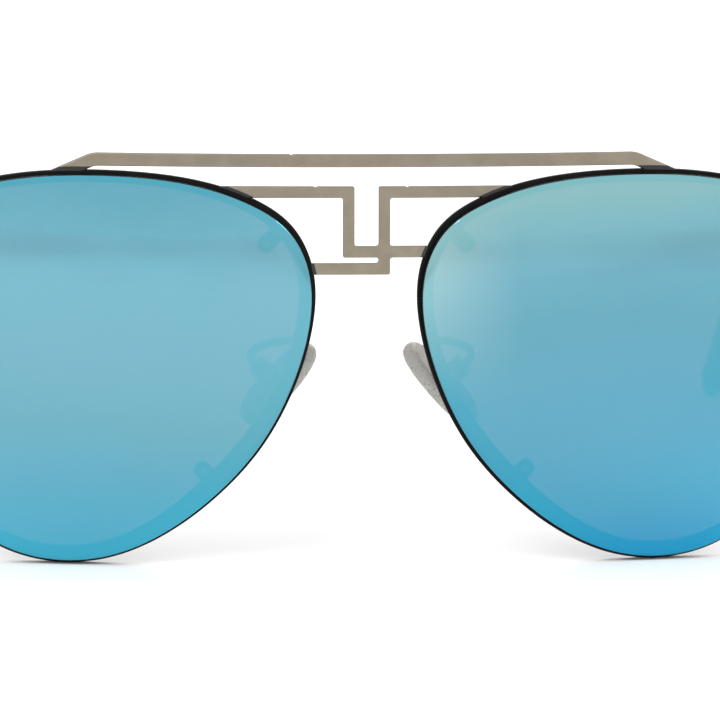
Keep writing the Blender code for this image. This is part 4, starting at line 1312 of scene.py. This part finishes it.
def champagne_material(name, stretch, with_lacquer):
    """Make brushed metal, which on bars has painted shade on its rounded edges and is lacquered
    black by the lenses.
    """
    finish = Finish(name, (0.36, 0.32, 0.262), 0.34, {"Metallic": 1.0})
    grain = finish.noise(0.05, stretch, 4.0)
    tone = finish.clouded(finish.noise(3.0, detail=4.0), 0.35, 0.65, CHAMPAGNE_TONES)
    tone = finish.mixed(finish.ranged(grain, 0.35, 0.7, 0.0, 0.35), tone, CHAMPAGNE_GRAIN)
    rough = finish.ranged(grain, 0.3, 0.7, 0.26, 0.42)
    if with_lacquer:
        ragged = finish.ranged(finish.noise(0.25), 0.0, 1.0, -0.05, 0.05)
        edge = finish.maths("ADD", finish.value("from_lens"), ragged)
        # Paint shade on the rounded edges of the bars, darkest at the edge.
        painted_edge_shade = finish.ranged(finish.value("edge_wear_and_shade"), 0.55, 1.0, 0.0, 0.85)
        tone = finish.mixed(painted_edge_shade, tone, CHAMPAGNE_PAINTED_EDGE_SHADE)
        near = LACQUER_REACH - BLACKENED_FADE
        far = LACQUER_REACH + BLACKENED_FADE
        black = finish.ranged(edge, near, far, 1.0, 0.0)
        tone = finish.mixed(black, tone, BLACKENED)
        rough = finish.maths("MULTIPLY", rough, finish.ranged(black, 0.0, 1.0, 1.0, 0.6))
        finish.paint("Metallic", finish.ranged(black, 0.0, 1.0, 1.0, 0.0))
    finish.paint("Base Color", tone)
    finish.paint("Roughness", rough)
    finish.bump(grain, 0.002, 0.5)
    return finish.material


def steel_material():
    finish = Finish("bright_steel", (0.62, 0.6, 0.57), 0.22, {"Metallic": 1.0})
    cloud = finish.noise(0.5, detail=4.0)
    finish.paint("Base Color", finish.clouded(cloud, 0.35, 0.65, STEEL_TONES))
    finish.polish(0.12, 0.3, 0.7, 0.15, 0.34)
    finish.bump(finish.noise(0.08), 0.002, 0.4)
    return finish.material


def silicone_material():
    settings = {
        "IOR": 1.41,
        "Transmission Weight": 0.45,
        "Subsurface Weight": 0.6,
        "Subsurface Radius": (1.0, 1.0, 1.0),
        "Subsurface Scale": SILICONE_SCATTER * MM,
    }
    finish = Finish("clear_silicone", (0.6, 0.59, 0.56), 0.3, settings)
    cloud = finish.noise(1.2, detail=4.0)
    finish.paint("Base Color", finish.clouded(cloud, 0.35, 0.65, SILICONE_TONES))
    finish.polish(0.4, 0.3, 0.7, 0.24, 0.42)
    finish.bump(finish.noise(0.5), 0.01, 0.4)
    return finish.material


def acetate_material():
    settings = {"Specular IOR Level": 0.16}
    finish = Finish("black_acetate", (0.01, 0.01, 0.011), 0.12, settings)
    swirl = finish.noise(5.0, (1.0, 3.0, 1.0), 5.0)
    finish.paint("Base Color", finish.clouded(swirl, 0.4, 0.7, ACETATE_TONES))
    finish.polish(1.5, 0.35, 0.7, 0.08, 0.22)
    finish.bump(finish.noise(1.0), 0.006, 0.4)
    return finish.material


def mirror_material(name):
    """Grade the mirror coating from deep blue at the bottom to pale aqua above, with painted light:
    the paler top and the differences between the two lenses are painted light, and a paler patch
    near the nose is a painted reflection.
    """
    finish = Finish(f"blue_mirror_with_painted_light_{name}", (0.08, 0.4, 0.5), 0.06, {"Metallic": 1.0})
    axes = finish.add("ShaderNodeSeparateXYZ", finish.places)
    height = finish.ranged(axes["Z"], 0.0, 2 * MIDDLE_HEIGHT * MM)
    drift = finish.ranged(finish.noise(26.0, detail=1.0), 0.3, 0.7, -0.03, 0.03)
    # The ramp holds painted light as well as the coating's own grading: paler at the top, and
    # different on each lens.
    ramp = finish.nodes.new("ShaderNodeValToRGB")
    finish.feed(ramp.inputs[0], finish.maths("ADD", height, drift))
    elements = ramp.color_ramp.elements
    stops = MIRROR_STOPS_WITH_PAINTED_LIGHT[name]
    while len(elements) < len(stops):
        elements.new(0.5)
    for element, (place, colour) in zip(elements, stops):
        element.position = place
        element.color = (*colour, 1.0)
    # Paint a paler reflection on the lens near the nose, higher up the lens.
    near, far = (x * MM for x in NOSE_PAINTED_REFLECTION_SPAN)
    low, high = (z * MM for z in NOSE_PAINTED_REFLECTION_HEIGHTS)
    across = finish.maths("ABSOLUTE", axes["X"])
    nose_painted_reflection = finish.ranged(across, near, far, NOSE_PAINTED_REFLECTION_SHARE[name], 0.0)
    share = finish.maths("MULTIPLY", nose_painted_reflection, finish.ranged(axes["Z"], low, high))
    finish.paint("Base Color", finish.mixed(share, ramp.outputs[0], NOSE_PAINTED_REFLECTION))
    finish.polish(6.0, 0.35, 0.7, 0.04, 0.1)
    finish.see_through(0.18, MIRROR_TINT)
    return finish.material


def lens_back_material():
    finish = Finish("tinted_lens_back", (0.012, 0.012, 0.012), 0.03)
    finish.polish(5.0, 0.35, 0.7, 0.02, 0.07)
    finish.see_through(0.28, BACK_TINT)
    return finish.material


def lens_edge_material():
    settings = {"Specular IOR Level": 0.2}
    finish = Finish("ground_lens_edge", (0.006, 0.008, 0.009), 0.3, settings)
    finish.polish(0.3, 0.3, 0.7, 0.2, 0.45)
    return finish.material


def paper_material():
    finish = Finish("pale_paper", (0.86, 0.86, 0.86), 0.85)
    finish.paint("Base Color", finish.clouded(finish.noise(40.0), 0.3, 0.7, PAPER_TONES))
    return finish.material


def make_looks():
    """Return each look's slot and materials."""
    bars = champagne_material("champagne_bars", (14.0, 1.0, 1.0), True)
    straps = champagne_material("champagne_straps", (1.0, 14.0, 1.0), False)
    looks = {
        "lacquer": ("black_lacquer", [lacquer_material()]),
        "bars": ("champagne_metal", [bars]),
        "straps": ("champagne_metal", [straps]),
        "steel": ("bright_steel", [steel_material()]),
        "silicone": ("clear_silicone", [silicone_material()]),
        "acetate": ("black_acetate", [acetate_material()]),
    }
    back = lens_back_material()
    edge = lens_edge_material()
    for name in SIDES:
        looks[f"lens_{name}"] = ("mirror_lens", [mirror_material(name), back, edge])
    return looks


# Studio

def aim(item, direction, roll=0.0):
    """Point a light or a camera in a direction."""
    turn = Vector(direction).to_track_quat("-Z", "Y")
    item.rotation_mode = "QUATERNION"
    item.rotation_quaternion = turn @ Matrix.Rotation(roll, 4, "Z").to_quaternion()


def make_lights():
    for name, (place, target, size, power) in LIGHTS.items():
        light = bpy.data.lights.new(name, "AREA")
        light.shape = "RECTANGLE"
        light.size, light.size_y = size
        light.energy = power
        item = linked(name, light)
        item.location = place
        aim(item, Vector(target) - Vector(place))


def make_floor():
    corners = rectangle(-FLOOR_REACH, -FLOOR_REACH, FLOOR_REACH, FLOOR_REACH)
    mesh = bpy.data.meshes.new("studio_floor")
    mesh.from_pydata([(x, y, 0.0) for x, y in corners], [], [(0, 1, 2, 3)])
    mesh.materials.append(paper_material())
    linked("studio_floor", mesh)


def make_world():
    world = bpy.data.worlds.new("studio")
    bpy.context.scene.world = world
    world.use_nodes = True
    background = world.node_tree.nodes["Background"]
    background.inputs["Color"].default_value = (1.0, 1.0, 1.0, 1.0)
    background.inputs["Strength"].default_value = WORLD_STRENGTH


def make_camera():
    """Place the camera at the photograph's angle, looking at the middle of the front."""
    camera = bpy.data.cameras.new("view")
    camera.sensor_width = VIEW_SENSOR
    camera.lens = VIEW_LENS
    camera.shift_x = -VIEW_SHIFT
    camera.shift_y = VIEW_SHIFT
    camera.clip_start = VIEW_CLIP
    item = linked("view", camera)
    level = math.cos(VIEW_ELEVATION)
    x = math.sin(VIEW_AZIMUTH) * level
    y = -math.cos(VIEW_AZIMUTH) * level
    back = Vector((x, y, math.sin(VIEW_ELEVATION)))
    item.location = Vector((0, FRONT_Y, MIDDLE_HEIGHT)) * MM + back * VIEW_DISTANCE
    aim(item, -back, VIEW_ROLL)
    bpy.context.scene.camera = item


def main():
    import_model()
    looks = make_looks()
    make_bridge(looks["bars"])
    make_brow_bar(looks["bars"])
    for name, side in SIDES.items():
        make_rim(name, side, looks["lacquer"])
        make_lens(name, side, looks[f"lens_{name}"])
        make_rivets(name, side, looks["steel"])
        make_end_piece(name, side, looks["bars"])
        make_hinge(name, side, looks["straps"], looks["steel"])
        make_temple(name, side, looks["straps"])
        make_temple_tip(name, side, looks["acetate"])
        make_pad(name, side, looks)
        make_pad_arm(name, side, looks["straps"])
    make_floor()
    make_world()
    make_lights()
    make_camera()
    bpy.context.scene.view_settings.view_transform = "Standard"


main()
